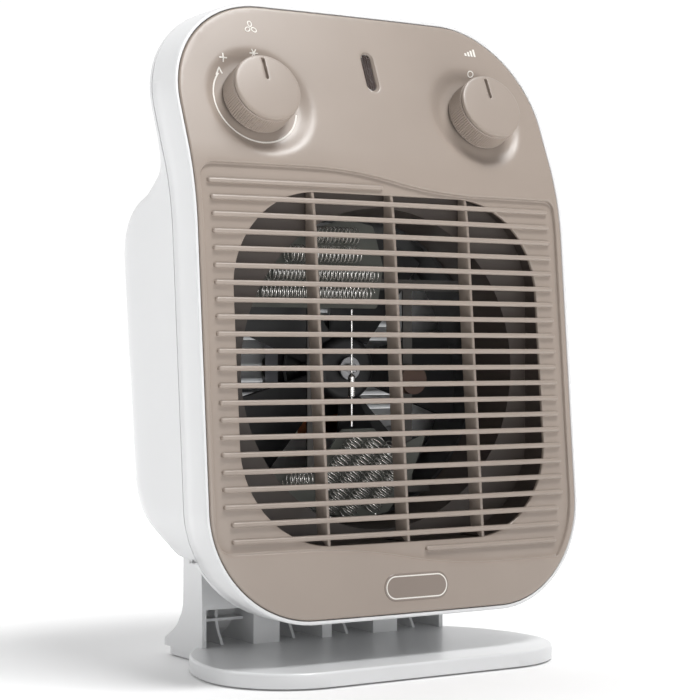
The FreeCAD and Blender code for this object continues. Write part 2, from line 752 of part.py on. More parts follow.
def build_base():
    body = new_body("base_stand")
    plate = on_top(body, "PlateOutline", size("foot_h"))
    for piece in plate_outline():
        plate.addGeometry(piece, False)
    pad(body, plate, "Sizes.base_t - Sizes.foot_h", name="Plate")
    doc.recompute()
    plate_pad = body.Tip
    top_edges = []
    for number, edge in enumerate(plate_pad.Shape.Edges, start=1):
        box = edge.BoundBox
        if box.ZMin > size("base_t") - 0.01 and box.YMax < 30.0 + size("centre_shift") + 5.0:
            top_edges.append("Edge%d" % number)
    fillet = body.newObject("PartDesign::Fillet", "PlateEdge")
    fillet.Base = (plate_pad, top_edges)
    fillet.Radius = 1.6
    side = on_side(body, "NeckSide")
    points, radii = neck_section(0)
    add_rounded(side, points, radii)
    pad(body, side, "2 * Sizes.neck_half", both=True, name="Neck")
    for number, (x0, x1) in enumerate(((-74.5, -46.0), (-30.0, -3.0), (3.0, 30.0), (46.0, 74.5))):
        hollow = on_side(body, "Cavity%d" % number, x0)
        points, radii = neck_section(1)
        add_rounded(hollow, points, radii)
        pocket(body, hollow, x1 - x0, reverse=True, name="CavityCut%d" % number)
    for number, x in enumerate((-61.5, -17.0, 17.0, 61.5)):
        rib = on_side(body, "CurvedRib%d" % number, x)
        add_rounded(rib, [(33.0, 40.0), (42.0, 22.0), (32.0, 8.0), (64.0, 8.0), (46.5, 25.0),
                          (46.5, 40.0)], [0, 16, 0, 0, 9, 0])
        pad(body, rib, 1.6, both=True, name="CurvedRibPad%d" % number)
    for number, (x0, x1) in enumerate(((-76, -45), (45, 76))):
        shelf = on_top(body, "Shelf%d" % number, 20.6)
        add_loop(shelf, rectangle(x0, 38.0, x1, 51.0))
        pad(body, shelf, 1.5, name="ShelfPad%d" % number)
    under = on_side(body, "ShellClearance")
    gap = size("parting_gap")
    points, radii = rear_profile(-gap)
    low, high = points[2][1], points[5][1]
    add_rounded(under, [(-ROOM, low), points[3], points[4], points[5], (-ROOM, high)],
                [0, radii[3], radii[4], 0, 0])
    pocket(body, under, both=True, name="ShellSeat")
    heads = on_top(body, "ScrewWells", 0.0)
    holes = on_top(body, "ScrewHoles", 0.0)
    for x, y in NECK_SCREWS:
        heads.addGeometry(Part.Circle(V(x, y, 0), V(0, 0, 1), 3.6), False)
        holes.addGeometry(Part.Circle(V(x, y, 0), V(0, 0, 1), CLEAR_R), False)
    pocket(body, heads, STAND_HEAD_Z, reverse=True, name="WellCut")
    pocket(body, holes, reverse=True, name="HoleCut")
    seats = on_top(body, "FootSeats", 0.0)
    for x, y in FEET:
        seats.addGeometry(Part.Circle(V(x, y, 0), V(0, 0, 1), 7.0), False)
    pocket(body, seats, 2.6, reverse=True, name="FootSeatCut")
    return body


FEET = [(-78.0, -38.0), (78.0, -38.0), (-62.0, 50.0), (62.0, 50.0)]


def build_feet():
    body = new_body("rubber_feet")
    discs = on_top(body, "Discs")
    for x, y in FEET:
        add_circle_at(discs, x, y, 6.8)
    pad(body, discs, 2.5, name="Feet")
    return body


def add_circle_at(sketch, x, y, radius):
    sketch.addGeometry(Part.Circle(V(x, y, 0), V(0, 0, 1), radius), False)


# ---------------------------------------------------------------- screws

def screw_group(label, spots, rotation, head_r, head_t, length):
    """Separate pan-head screws, one solid each; every spot is the underside of its head."""
    solids = []
    for spot in spots:
        head = Part.makeCylinder(head_r, head_t)
        head = head.makeFillet(head_t * 0.45, [e for e in head.Edges
                                               if e.BoundBox.ZMin > head_t - 0.01])
        slot_a = Part.makeBox(head_r * 1.1, 0.7, head_t * 0.5, V(-head_r * 0.55, -0.35, head_t * 0.6))
        slot_b = Part.makeBox(0.7, head_r * 1.1, head_t * 0.5, V(-0.35, -head_r * 0.55, head_t * 0.6))
        shank = Part.makeCylinder(SCREW_R, length, V(0, 0, -length))
        tip = Part.makeCone(0.3, SCREW_R, 1.5, V(0, 0, -length - 1.5))
        solid = head.fuse([shank, tip]).cut([slot_a, slot_b]).removeSplitter()
        solid.Placement = Placement(spot, rotation)
        solids.append(solid)
    group = doc.addObject("Part::Feature", label)
    group.Label = label
    group.Shape = Part.makeCompound(solids)
    group.Placement = Placement(V(0, size("centre_shift"), 0), Rotation())
    return group


FROM_BACK = Rotation(V(1, 0, 0), -90)
FROM_BELOW = Rotation(V(1, 0, 0), 180)


def build_housing_screws():
    spots = [V(x, post_plane(z) + 3.5, z) for x, z in POSTS_LOW + POSTS_HIGH]
    return screw_group("housing_screws", spots, FROM_BACK, 2.9, 2.0, 11.0)


def build_duct_screws():
    spots = [V(x, DUCT_Y + 2.1, z) for x, z in BOSSES]
    return screw_group("duct_screws", spots, FROM_BACK, 2.9, 2.0, 5.2)


def build_stand_screws():
    spots = [V(x, y, STAND_HEAD_Z - 0.1) for x, y in NECK_SCREWS]
    return screw_group("stand_screws", spots, FROM_BELOW, 3.2, 2.2, 24.0)


# ---------------------------------------------------------------- heater duct and elements

def build_heater_duct():
    body = new_body("heater_duct")
    collar = on_front(body, "CollarOutline", DUCT_Y)
    for grow in (0.5, 2.2):
        for piece in opening_outline(grow):
            collar.addGeometry(piece, False)
    pad(body, collar, 34.0, name="Collar")
    slab(body, -60.0, size("face_t") + size("floor_t") + 0.5, "SubtractivePipe", name="CollarTrim")
    ribs = on_front(body, "RibSlots", DUCT_Y)
    for index in range(3):
        x = size("rib_first_x") + index * size("rib_pitch")
        add_loop(ribs, rectangle(x - 1.6, 40.0, x + 1.6, 270.0))
    pocket(body, ribs, 40.0, reverse=True, name="RibSlotCut")
    plate = on_front(body, "PlateOutline", DUCT_Y)
    for piece in opening_outline(2.2):
        plate.addGeometry(piece, False)
    add_circle_at(plate, 0, size("fan_z"), size("duct_r"))
    pad(body, plate, 2.0, reverse=True, name="Plate")
    for number, (x, z) in enumerate(BOSSES):
        side = math.copysign(1, x)
        ear = on_front(body, "Ear%d" % number, DUCT_Y)
        add_loop(ear, rectangle(min(side * 80, side * 107), z - 6, max(side * 80, side * 107), z + 6))
        pad(body, ear, 2.0, reverse=True, name="EarPad%d" % number)
    holes = on_front(body, "EarHoles", DUCT_Y)
    for x, z in BOSSES:
        add_circle_at(holes, x, z, CLEAR_R)
    pocket(body, holes, both=True, name="EarHoleCut")
    t = size("duct_t")
    section = new_sketch(body, "TubeSection", "YZ_Plane", V(0, size("fan_z"), 0))
    add_loop(section, [(DUCT_Y, size("duct_r")), (0.0, size("duct_rear_r")),
                       (0.0, size("duct_rear_r") + t), (DUCT_Y, size("duct_r") + t)])
    turn(body, section, name="Tube")
    return body


COIL_Y = -15.0
MICA_Y = -9.0
UPPER_ROWS = [((-36.0, 226.0), (-7.0, 226.0)), ((-49.0, 216.0), (-6.0, 216.0)),
              ((-60.0, 206.0), (6.0, 206.0)), ((-67.0, 196.0), (2.0, 196.0))]
LOWER_ROWS = [((-27.0, 95.5), (-6.0, 120.0)), ((-26.0, 81.0), (6.5, 119.0)),
              ((-14.0, 79.0), (17.0, 115.0)), ((2.0, 81.5), (22.0, 105.0)),
              ((-50.0, 99.0), (-35.0, 99.0))]


def coil_rows(label, rows):
    """Open coils of resistance wire, one straight row each."""
    solids = []
    pitch = size("coil_pitch")
    for (x0, z0), (x1, z1) in rows:
        run = math.hypot(x1 - x0, z1 - z0)
        helix = Part.makeHelix(pitch, run, size("coil_r"))
        start = V(size("coil_r"), 0, 0)
        profile = Part.Wire(Part.makeCircle(size("wire_r"), start, V(0, 1, 0)))
        solid = Part.Wire(helix).makePipeShell([profile], True, True)
        solid = Part.Solid(solid) if solid.ShapeType == "Shell" else solid
        direction = V(x1 - x0, 0, z1 - z0)
        solid.Placement = Placement(V(x0, COIL_Y, z0), Rotation(V(0, 0, 1), direction))
        solids.append(solid)
    group = doc.addObject("Part::Feature", label)
    group.Label = label
    group.Shape = Part.makeCompound(solids)
    group.Placement = Placement(V(0, size("centre_shift"), 0), Rotation())
    return group


def build_mica(label, points, radii):
    body = new_body(label)
    outline = on_front(body, "Outline", MICA_Y)
    add_rounded(outline, points, radii)
    pad(body, outline, "Sizes.mica_t", reverse=True, name="Board")
    return body


def build_mica_upper():
    points = [(-44, 222), (-61, 208), (-73, 188), (10, 188), (14, 210), (7.5, 232), (-10, 235),
              (-32, 229)]
    return build_mica("mica_board_upper", points, [2] * 8)


def build_mica_lower():
    points = [(-50, 104), (-56, 99), (-43, 88.5), (-25, 80), (0, 76), (17, 79), (31, 95), (42, 121),
              (20, 112), (8, 124), (-12, 124), (-30, 100)]
    return build_mica("mica_board_lower", points, [1.5] * 7 + [0.6] + [1.5] * 4)


def build_element_frame():
    """Pressed steel bar frame across the duct that carries both mica boards."""
    body = new_body("element_frame")
    y = MICA_Y + size("mica_t") + 0.05
    bars = [rectangle(-80.2, 198.0, 50.0, 204.0), rectangle(-57.0, 89.0, 57.0, 95.0)]
    fz = size("fan_z")
    for number, points in enumerate(bars):
        sketch = on_front(body, "Bar%d" % number, y)
        level = (points[0][1] + points[2][1]) / 2
        reach = math.sqrt((size("duct_rear_r") - 1.2) ** 2 - (abs(level - fz) + 3.0) ** 2)
        add_loop(sketch, rectangle(-reach, level - 3, reach, level + 3))
        pad(body, sketch, 1.0, reverse=True, name="BarPad%d" % number)
    for number, x in enumerate((-30.0, 30.0)):
        sketch = on_front(body, "Upright%d" % number, y)
        add_loop(sketch, rectangle(x - 3, 90.0, x + 3, 203.0))
        pad(body, sketch, 1.0, reverse=True, name="UprightPad%d" % number)
    return body


def peg(label, spots, radius, y0, y1, hole=0.0):
    """Round pieces along Y, one solid each."""
    body = new_body(label)
    sketch = on_front(body, "Rings", y0)
    for x, z in spots:
        add_circle_at(sketch, x, z, radius)
        if hole > 0:
            add_circle_at(sketch, x, z, hole)
    pad(body, sketch, y1 - y0, reverse=True, name="Pegs")
    return body


# ---------------------------------------------------------------- fan, shroud and motor

def build_fan_shroud():
    """Ring round the fan with four arms at the back that carry the motor."""
    body = new_body("fan_shroud")
    r = size("shroud_r")
    section = new_sketch(body, "RingSection", "YZ_Plane", V(0, size("fan_z"), 0))
    add_loop(section, [(0.4, r), (SHROUD_BACK - 0.3, r), (SHROUD_BACK - 0.3, r + 2.0),
                       (2.5, r + 2.0), (2.5, r + 5.0), (0.4, r + 5.0)])
    turn(body, section, name="Ring")
    hub = on_front(body, "MotorSeat", 26.0)
    add_circle_at(hub, 0, size("fan_z"), 26.0)
    add_circle_at(hub, 0, size("fan_z"), 9.0)
    pad(body, hub, 3.0, reverse=True, name="Seat")
    arms = on_front(body, "Arms", 26.0)
    fz = size("fan_z")
    inner, outer = 20.0, r + 1.0
    for angle in (45, 135, 225, 315):
        along = V(math.cos(math.radians(angle)), math.sin(math.radians(angle)), 0)
        across = V(-along.y, along.x, 0)
        points = []
        for reach, half in ((inner, 4.0), (outer, 3.0), (outer, -3.0), (inner, -4.0)):
            spot = along * reach + across * half
            points.append((spot.x, spot.y + fz))
        add_loop(arms, points)
    pad(body, arms, 3.0, reverse=True, name="ArmPads")
    for number, (x, z) in enumerate(SHROUD_LUGS):
        side = math.copysign(1, x)
        lug = on_front(body, "Lug%d" % number, 27.0)
        add_loop(lug, rectangle(min(x - 6, x - side * 16), z - 6, max(x + 6, x - side * 16), z + 6))
        pad(body, lug, 2.7, reverse=True, name="LugPad%d" % number)
    clear = on_front(body, "Bore", 27.0)
    add_circle_at(clear, 0, fz, r)
    holes = on_front(body, "Holes", 27.0)
    for x, z in SHROUD_LUGS:
        add_circle_at(holes, x, z, CLEAR_R)
    for x, z in MOTOR_SCREWS:
        add_circle_at(holes, x, z, CLEAR_R)
    pocket(body, holes, both=True, name="HoleCut")
    return body


MOTOR_SCREWS = [(-20.0, 156.0), (20.0, 156.0)]
FAN_FRONT = 5.0
FAN_BACK = 22.0


def build_fan():
    body = new_body("fan_impeller", V(0, 0, size("fan_z")))
    section = on_side(body, "HubSection")
    r = size("hub_r")
    shaft = size("motor_shaft_r")
    add_rounded(section, [(FAN_FRONT, shaft), (FAN_FRONT, r), (FAN_BACK, r), (FAN_BACK, r - 1.8),
                          (FAN_FRONT + 2.4, r - 1.8), (FAN_FRONT + 2.4, 5.5), (FAN_BACK - 1, 5.5),
                          (FAN_BACK - 1, shaft)], [0, 4.0, 0, 0, 2.2, 0, 0, 0])
    turn(body, section, name="Hub")
    root = on_side(body, "BladeRoot", r - 1.2)
    tip = on_side(body, "BladeTip", size("fan_r") + 4.0)
    add_loop(root, [(7.0, -9.0), (8.4, -9.6), (20.6, 8.0), (19.2, 8.6)])
    add_loop(tip, [(8.0, -32.0), (9.0, -32.8), (20.6, 23.0), (19.6, 23.8)])
    blade = feature(body, "AdditiveLoft", root, "Blade")
    blade.Sections = [(tip, [""])]
    doc.recompute()
    blades = body.newObject("PartDesign::PolarPattern", "Blades")
    blades.Originals = [blade]
    blades.Axis = (origin_plane(body, "Y_Axis"), [""])
    blades.Angle = 360.0
    blades.Occurrences = BLADES
    body.Tip = blades
    trim = on_front(body, "TipCircle")
    add_circle_at(trim, 0, 0, size("fan_r"))
    add_circle_at(trim, 0, 0, size("fan_r") + 60.0)
    pocket(body, trim, both=True, name="TipTrim")
    return body


def turned_on_axis(label, points, radii=None):
    """Piece of revolution about the fan axis; points are (y, radius)."""
    body = new_body(label, V(0, 0, size("fan_z")))
    section = on_side(body, "Section")
    add_rounded(section, points, radii or [0] * len(points))
    turn(body, section, name="Turned")
    return body


def build_fan_clip():
    """Spring ring that holds the fan on the shaft."""
    return turned_on_axis("fan_clip", [(2.0, 2.55), (2.0, 6.2), (3.2, 6.2), (4.9, 5.0), (4.9, 2.55)])


def build_shaft():
    return turned_on_axis("motor_shaft", [(-2.0, 0), (-2.0, 2.1), (-1.6, 2.45), (57.5, 2.45),
                                          (57.5, 0)])


def build_rotor():
    return turned_on_axis("motor_rotor", [(34.0, 2.5), (34.0, 10.5), (50.2, 10.5), (50.2, 2.5)])


def build_bearings():
    front = turned_on_axis("bearing_front", [(27.0, 2.5), (27.0, 6.0), (31.5, 6.0), (31.5, 2.5)])
    rear = turned_on_axis("bearing_rear", [(53.2, 2.5), (53.2, 5.0), (56.8, 5.0), (56.8, 2.5)])
    return front, rear


def build_motor_core():
    """Shaded-pole stator: a stack of laminations with the coil leg at the bottom."""
    body = new_body("motor_core", V(0, 0, size("fan_z")))
    outline = on_front(body, "Lamination", 35.0)
    add_rounded(outline, rectangle(-26, -34, 26, 20), 3.0)
    add_circle_at(outline, 0, 0, 11.0)
    add_loop(outline, rectangle(-18, -26.5, 18, -14.5))
    pad(body, outline, 14.0, reverse=True, name="Stack")
    holes = on_front(body, "Holes", 35.0)
    for x in (-20.0, 20.0):
        add_circle_at(holes, x, 0, CLEAR_R)
    pocket(body, holes, both=True, name="HoleCut")
    return body


def build_bobbin():
    body = new_body("motor_bobbin", V(0, 0, size("fan_z")))
    outline = on_side(body, "Flange", -17.6)
    add_loop(outline, rectangle(30.6, -38.5, 53.4, -22.0))
    add_loop(outline, rectangle(34.7, -34.3, 49.3, -26.2))
    pad(body, outline, 1.5, name="FlangeA")
    tube = on_side(body, "TubeOutline", -16.2)
    add_loop(tube, rectangle(33.7, -35.3, 50.3, -25.2))
    add_loop(tube, rectangle(34.7, -34.3, 49.3, -26.2))
    pad(body, tube, 32.4, name="Tube")
    far = on_side(body, "FlangeFar", 16.1)
    add_loop(far, rectangle(30.6, -38.5, 53.4, -22.0))
    add_loop(far, rectangle(34.7, -34.3, 49.3, -26.2))
    pad(body, far, 1.5, name="FlangeB")
    return body


def build_winding():
    body = new_body("motor_winding", V(0, 0, size("fan_z")))
    outline = on_side(body, "Outline", -15.9)
    add_rounded(outline, rectangle(31.4, -37.6, 52.6, -22.9), 1.5)
    add_loop(outline, rectangle(33.65, -35.35, 50.35, -25.15))
    pad(body, outline, 31.8, name="Winding")
    return body


def build_bracket(label, y, lip):
    """Motor end bracket: a strap across the rotor that holds a bearing."""
    body = new_body(label, V(0, 0, size("fan_z")))
    strap = on_front(body, "Strap", y)
    add_rounded(strap, rectangle(-25, -6.5, 25, 6.5), 4.0)
    add_circle_at(strap, 0, 0, lip)
    for x in (-20.0, 20.0):
        add_circle_at(strap, x, 0, CLEAR_R)
    pad(body, strap, 1.4, reverse=True, name="StrapPad")
    return body


def build_motor_screws():
    spots = [V(x, 54.65, z) for x, z in MOTOR_SCREWS]
    return screw_group("motor_screws", spots, FROM_BACK, 3.0, 2.0, 26.8)


def build_shroud_screws():
    spots = [V(x, 26.9, z) for x, z in SHROUD_LUGS]
    return screw_group("shroud_screws", spots, Rotation(V(1, 0, 0), 90), 2.9, 2.0, 12.0)


# ---------------------------------------------------------------- controls

def build_knob(label, side):
    """Control knob: knurled skirt, groove under the face rim, slightly domed face, pointer slot."""
    body = control_body(label, side * size("knob_x"))
    base = size("dish_floor") + size("knob_lift")
    top = base + size("knob_len")
    r = size("knob_r")
    rf = size("knob_face_r")
    section = on_side(body, "Section")
    lines = [V(3.05, base + 1.2, 0), V(3.05, top - 3.5, 0), V(0, top - 3.5, 0), V(0, top, 0)]
    dome_side = V(rf - 1.2, top - 0.5, 0)
    dome_middle = V(rf / 2, top - 0.12, 0)
    rim = V(rf, top - 1.8, 0)
    rim_middle = V(rf - 0.3, top - 0.95, 0)
    groove = [V(rf, top - 2.6, 0), V(rf - 0.7, top - 2.6, 0), V(rf - 0.7, top - 3.3, 0),
              V(rf, top - 3.3, 0), V(r, base + 0.6, 0), V(r - 0.5, base, 0), V(r - 2.6, base, 0),
              V(r - 2.9, top - 5.2, 0), V(6.2, top - 5.2, 0), V(6.2, base + 1.2, 0)]
    for first, second in zip(lines, lines[1:]):
        section.addGeometry(Part.LineSegment(first, second), False)
    section.addGeometry(Part.Arc(lines[-1], dome_middle, dome_side), False)
    section.addGeometry(Part.Arc(dome_side, rim_middle, rim), False)
    chain = [rim] + groove + [lines[0]]
    for first, second in zip(chain, chain[1:]):
        section.addGeometry(Part.LineSegment(first, second), False)
    turn(body, section, axis="V_Axis", name="Turned")
    slot = on_top(body, "PointerSlot", top + 1.0)
    add_rounded(slot, rectangle(-0.9, 4.5, 0.9, rf - 2.2), 0.89)
    pocket(body, slot, 2.0, name="Pointer")
    return body


def build_spindle(label, side, depth):
    body = control_body(label, side * size("knob_x"))
    top = size("dish_floor") + size("knob_lift") + size("knob_len") - 4.0
    rod = on_top(body, "Rod", -depth)
    add_circle(rod, 0, 0, "Sizes.spindle_r")
    pad(body, rod, top + depth, name="RodPad")
    return body


def build_selector_cam():
    body = control_body("selector_cam", size("knob_x"))
    outline = on_top(body, "CamOutline", -16.0)
    points = []
    for step in range(24):
        angle = math.radians(step * 15)
        radius = 8.0 + (1.6 if step % 6 < 3 else 0.0)
        points.append((radius * math.cos(angle), radius * math.sin(angle)))
    add_loop(outline, points)
    add_circle_at(outline, 0, 0, size("spindle_r") + 0.02)
    pad(body, outline, 6.0, name="Cam")
    return body


def build_selector_body():
    """Rotary switch: box with a round cavity for the cam and a threaded neck in the panel's hole."""
    body = control_body("selector_switch", size("knob_x"))
    box = on_top(body, "Box", -21.0)
    add_rounded(box, rectangle(-16, -15, 16, 15), 2.0)
    pad(body, box, 17.0, name="Case")
    neck = on_top(body, "Neck", -4.1)
    add_circle_at(neck, 0, 0, 4.4)
    pad(body, neck, 4.5, name="NeckPad")
    cavity = on_top(body, "Cavity", -8.0)
    add_circle_at(cavity, 0, 0, 11.0)
    pocket(body, cavity, 10.0, name="CavityCut")
    bore = on_top(body, "Bore", 2.0)
    add_circle_at(bore, 0, 0, size("spindle_r") + 0.05)
    pocket(body, bore, 21.0, name="BoreCut")
    return body


def build_selector_contacts():
    body = control_body("selector_contacts", size("knob_x"))
    tabs = on_top(body, "Tabs", -26.0)
    for x in (-10.0, -3.5, 3.5, 10.0):
        add_loop(tabs, rectangle(x - 2.4, 12.4, x + 2.4, 13.2))
    pad(body, tabs, 4.95, name="TabPads")
    return body


def build_thermostat():
    """Thermostat: ceramic base plate with a threaded bush for its spindle."""
    body = control_body("thermostat_base", -size("knob_x"))
    plate = on_top(body, "Plate", -7.5)
    add_rounded(plate, rectangle(-12, -17, 12, 12), 3.0)
    pad(body, plate, 3.2, name="PlatePad")
    bush = on_top(body, "Bush", -4.4)
    add_circle_at(bush, 0, 0, 4.4)
    pad(body, bush, 4.8, name="BushPad")
    bore = on_top(body, "Bore", 2.0)
    add_circle_at(bore, 0, 0, size("spindle_r") + 0.05)
    pocket(body, bore, 12.0, name="BoreCut")
    return body


def build_bimetal():
    """Bimetal blade and its contact blade, stacked on an insulated post."""
    body = control_body("thermostat_bimetal", -size("knob_x"))
    for number, (z, reach) in enumerate(((-10.5, 6.0), (-14.5, 9.0))):
        blade = on_top(body, "Blade%d" % number, z)
        add_rounded(blade, rectangle(-4, -15, 4, reach), 1.5)
        pad(body, blade, 0.6, name="BladePad%d" % number)
    post = on_top(body, "Post", -16.5)
    add_circle_at(post, 0, -12.0, 2.8)
    pad(body, post, 8.95, name="PostPad")
    clearance = on_top(body, "TipClear", -10.6)
    add_circle_at(clearance, 0, 0, size("spindle_r") + 0.4)
    pocket(body, clearance, 0.8, reverse=True, name="TipClearCut")
    return body


def build_nuts():
    """Hexagon nuts that clamp the thermostat and the switch behind the dish."""
    made = []
    for label, side in (("thermostat_nut", -1), ("selector_nut", 1)):
        body = control_body(label, side * size("knob_x"))
        outline = on_top(body, "Hexagon", -3.9)
        corners = []
        for step in range(6):
            angle = math.radians(60 * step)
            corners.append((7.0 * math.cos(angle), 7.0 * math.sin(angle)))
        add_loop(outline, corners)
        add_circle_at(outline, 0, 0, 4.45)
        pad(body, outline, 2.0, name="Nut")
        made.append(body)
    return made


LENS_TILT = Rotation(V(1, 0, 0), 90.0 - size("lean_high"))


def lens_foot(depth):
    z = size("lens_z")
    outward = V(0, -math.cos(HIGH), math.sin(HIGH))
    return V(size("lens_x"), face_y(z), z) + outward * (bow(size("lens_x")) * math.cos(HIGH) - depth)


def build_lens():
    """Long rounded window of the power lamp, with a flange behind the panel."""
    body = new_body("indicator_lens", lens_foot(0.0), LENS_TILT)
    window = on_top(body, "Window", -5.2)
    half = 4.7
    reach = 6.5
    add_rounded(window, rectangle(-half, -half - reach, half, half + reach), half - 0.01)
    pad(body, window, 4.6, name="WindowPad")
    flange = on_top(body, "Flange", -5.8)
    add_rounded(flange, rectangle(-8.5, -16, 8.5, 16), 4.0)
    pad(body, flange, 1.2, name="FlangePad")
    return body


def build_lamp():
    body = new_body("neon_lamp", lens_foot(11.0), LENS_TILT)
    section = on_side(body, "Section")
    add_rounded(section, [(-9.0, 0), (-9.0, 2.6), (7.0, 2.6), (9.5, 0)], [0, 1, 1.5, 0])
    sketch_axis = turn(body, section, axis="H_Axis", name="Bulb")
    sketch_axis.Angle = 360.0
    return body


def build_lamp_holder():
    body = new_body("lamp_holder", lens_foot(11.0), LENS_TILT)
    block = on_top(body, "Block", -5.0)
    add_rounded(block, rectangle(-7.0, -13.0, 7.0, 11.5), 1.5)
    pad(body, block, 9.6, name="BlockPad")
    groove = on_side(body, "Groove", 0.0)
    add_loop(groove, rectangle(-9.3, -2.8, 10.0, 8.0))
    pocket(body, groove, 5.6, both=True, name="GrooveCut")
    return body


def build_thermal_parts():
    cutout = peg("thermal_cutout", [(30.0, 150.0)], 8.0, MICA_Y - 6.0, MICA_Y + 0.6)
    fuse_body = new_body("thermal_fuse", V(-9.5, COIL_Y + 0.5, 147.0))
    section = new_sketch(fuse_body, "Section", "XZ_Plane")
    add_rounded(section, [(0, -6.0), (1.9, -6.0), (1.9, 5.0), (0, 7.0)], [0, 0.6, 1.0, 0])
    turn(fuse_body, section, axis="V_Axis", name="Case")
    return cutout, fuse_body


def build_link_wire():
    """Bare wires that join the two coils through the thermal fuse."""
    body = new_body("link_wires", V(-9.5, COIL_Y + 0.5, 147.0))
    for number, (z0, z1) in enumerate(((7.05, 40.0), (-21.5, -6.05))):
        sketch = on_top(body, "Wire%d" % number, z0)
        add_circle_at(sketch, 0, 0, 0.6)
        pad(body, sketch, z1 - z0, name="WirePad%d" % number)
    return body


def build_terminal_block():
    """Ceramic terminal block in the bottom of the shell, beside the cord inlet."""
    body = new_body("terminal_block", V(66.0, -7.0, 64.9))
    block = on_top(body, "Block")
    add_rounded(block, rectangle(-18, -8, 18, 8), 1.5)
    pad(body, block, 13.0, name="BlockPad")
    ways = on_front(body, "Ways", -8.0)
    for x in (-12.0, 0.0, 12.0):
        add_circle_at(ways, x, 6.0, 2.6)
    pocket(body, ways, 30.0, both=True, name="WayCut")
    return body


# ---------------------------------------------------------------- build, check and write

def build_all():
    parts = []
    parts.append(build_front_panel())
    parts.append(build_badge())
    parts.append(build_front_ring())
    parts.append(build_rear_shell())
    parts.append(build_cord_inlet())
    parts.append(build_base())
    parts.append(build_feet())
    parts.append(build_housing_screws())
    parts.append(build_duct_screws())
    parts.append(build_stand_screws())
    parts.append(build_shroud_screws())
    parts.append(build_heater_duct())
    parts.append(build_element_frame())
    parts.append(build_mica_upper())
    parts.append(build_mica_lower())
    parts.append(coil_rows("heating_coil_upper", UPPER_ROWS))
    parts.append(coil_rows("heating_coil_lower", LOWER_ROWS))
    parts.extend(build_thermal_parts())
    parts.append(build_link_wire())
    parts.append(build_fan_shroud())
    parts.append(build_fan())
    parts.append(build_fan_clip())
    parts.append(build_shaft())
    parts.append(build_rotor())
    parts.extend(build_bearings())
    parts.append(build_motor_core())
    parts.append(build_bobbin())
    parts.append(build_winding())
    parts.append(build_bracket("motor_bracket_front", 29.4, 6.02))
    parts.append(build_bracket("motor_bracket_rear", 53.2, 5.02))
    parts.append(build_motor_screws())
    parts.append(build_knob("thermostat_knob", -1))
    parts.append(build_spindle("thermostat_spindle", -1, 9.4))
    parts.append(build_knob("selector_knob", 1))
    parts.append(build_spindle("selector_spindle", 1, 17.5))
    parts.append(build_selector_cam())
    parts.append(build_selector_body())
    parts.append(build_selector_contacts())
    parts.append(build_thermostat())
    parts.append(build_bimetal())
    parts.extend(build_nuts())
    parts.append(build_lens())
    parts.append(build_lamp())
    parts.append(build_lamp_holder())
    parts.append(build_terminal_block())
    return parts


def check(parts):
    faults = []
    for item in doc.Objects:
        if "Invalid" in item.State or "Error" in item.State:
            faults.append("%s %s" % (item.Name, item.State))
    for part in parts:
        if part.Shape.isNull() or not part.Shape.isValid():
            faults.append("shape %s" % part.Label)
        elif len(part.Shape.Solids) == 0:
            faults.append("no solid %s" % part.Label)
    return faults


def write(parts):
    os.makedirs("parts", exist_ok=True)
    for part in parts:
        part.Shape.exportStep("parts/%s.step" % part.Label)


made_parts = build_all()
doc.recompute()
problems = check(made_parts)
for line in problems:
    print("FAULT", line)
for part in made_parts:
    bounds = part.Shape.BoundBox
    print("%-22s solids %d vol %9.0f  x %7.1f %7.1f  y %7.1f %7.1f  z %7.1f %7.1f" % (
        part.Label, len(part.Shape.Solids), part.Shape.Volume, bounds.XMin, bounds.XMax,
        bounds.YMin, bounds.YMax, bounds.ZMin, bounds.ZMax))
if not problems:
    write(made_parts)
    print("written", len(made_parts))
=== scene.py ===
import bpy
import bmesh
import json
import math
import numpy as np
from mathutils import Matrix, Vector
from mathutils.geometry import delaunay_2d_cdt


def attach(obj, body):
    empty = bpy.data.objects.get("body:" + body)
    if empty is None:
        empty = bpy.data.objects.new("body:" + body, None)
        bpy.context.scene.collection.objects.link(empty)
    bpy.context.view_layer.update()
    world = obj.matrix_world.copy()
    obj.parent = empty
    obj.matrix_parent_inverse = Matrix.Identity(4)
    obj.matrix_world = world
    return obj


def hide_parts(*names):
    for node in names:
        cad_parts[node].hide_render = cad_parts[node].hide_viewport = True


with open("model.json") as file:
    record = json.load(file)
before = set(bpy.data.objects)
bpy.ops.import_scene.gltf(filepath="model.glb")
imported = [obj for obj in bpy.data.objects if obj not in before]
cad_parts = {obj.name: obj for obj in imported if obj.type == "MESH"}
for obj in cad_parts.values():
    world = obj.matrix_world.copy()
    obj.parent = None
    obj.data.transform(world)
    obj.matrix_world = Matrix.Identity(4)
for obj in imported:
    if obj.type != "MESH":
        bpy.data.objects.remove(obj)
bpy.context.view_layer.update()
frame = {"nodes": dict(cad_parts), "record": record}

# Lengths below are millimetres; MM turns them into metres when a mesh is made.
MM = 0.001
SHIFT = 1.0
HALF_W, PANEL_LOW, PANEL_HIGH, CORNER_R = 112.0, 31.7, 344.5, 55.0
FACE_Y, FACE_Z = -54.8, 30.0
LOW, HIGH = math.radians(4.9), math.radians(22.8)
BEND_Z, BEND_R = 248.7, 140.0
BULGE = 4.0
BOW_R = (HALF_W ** 2 + BULGE ** 2) / (2 * BULGE)
BEND_Y = FACE_Y + math.tan(LOW) * (BEND_Z - FACE_Z)
BEND_REACH = BEND_R * math.tan((HIGH - LOW) / 2)
BEND_START = (BEND_Y - BEND_REACH * math.sin(LOW), BEND_Z - BEND_REACH * math.cos(LOW))
BEND_END = (BEND_Y + BEND_REACH * math.sin(HIGH), BEND_Z + BEND_REACH * math.cos(HIGH))
BEND_CENTRE = (BEND_START[0] + BEND_R * math.cos(LOW), BEND_START[1] - BEND_R * math.sin(LOW))
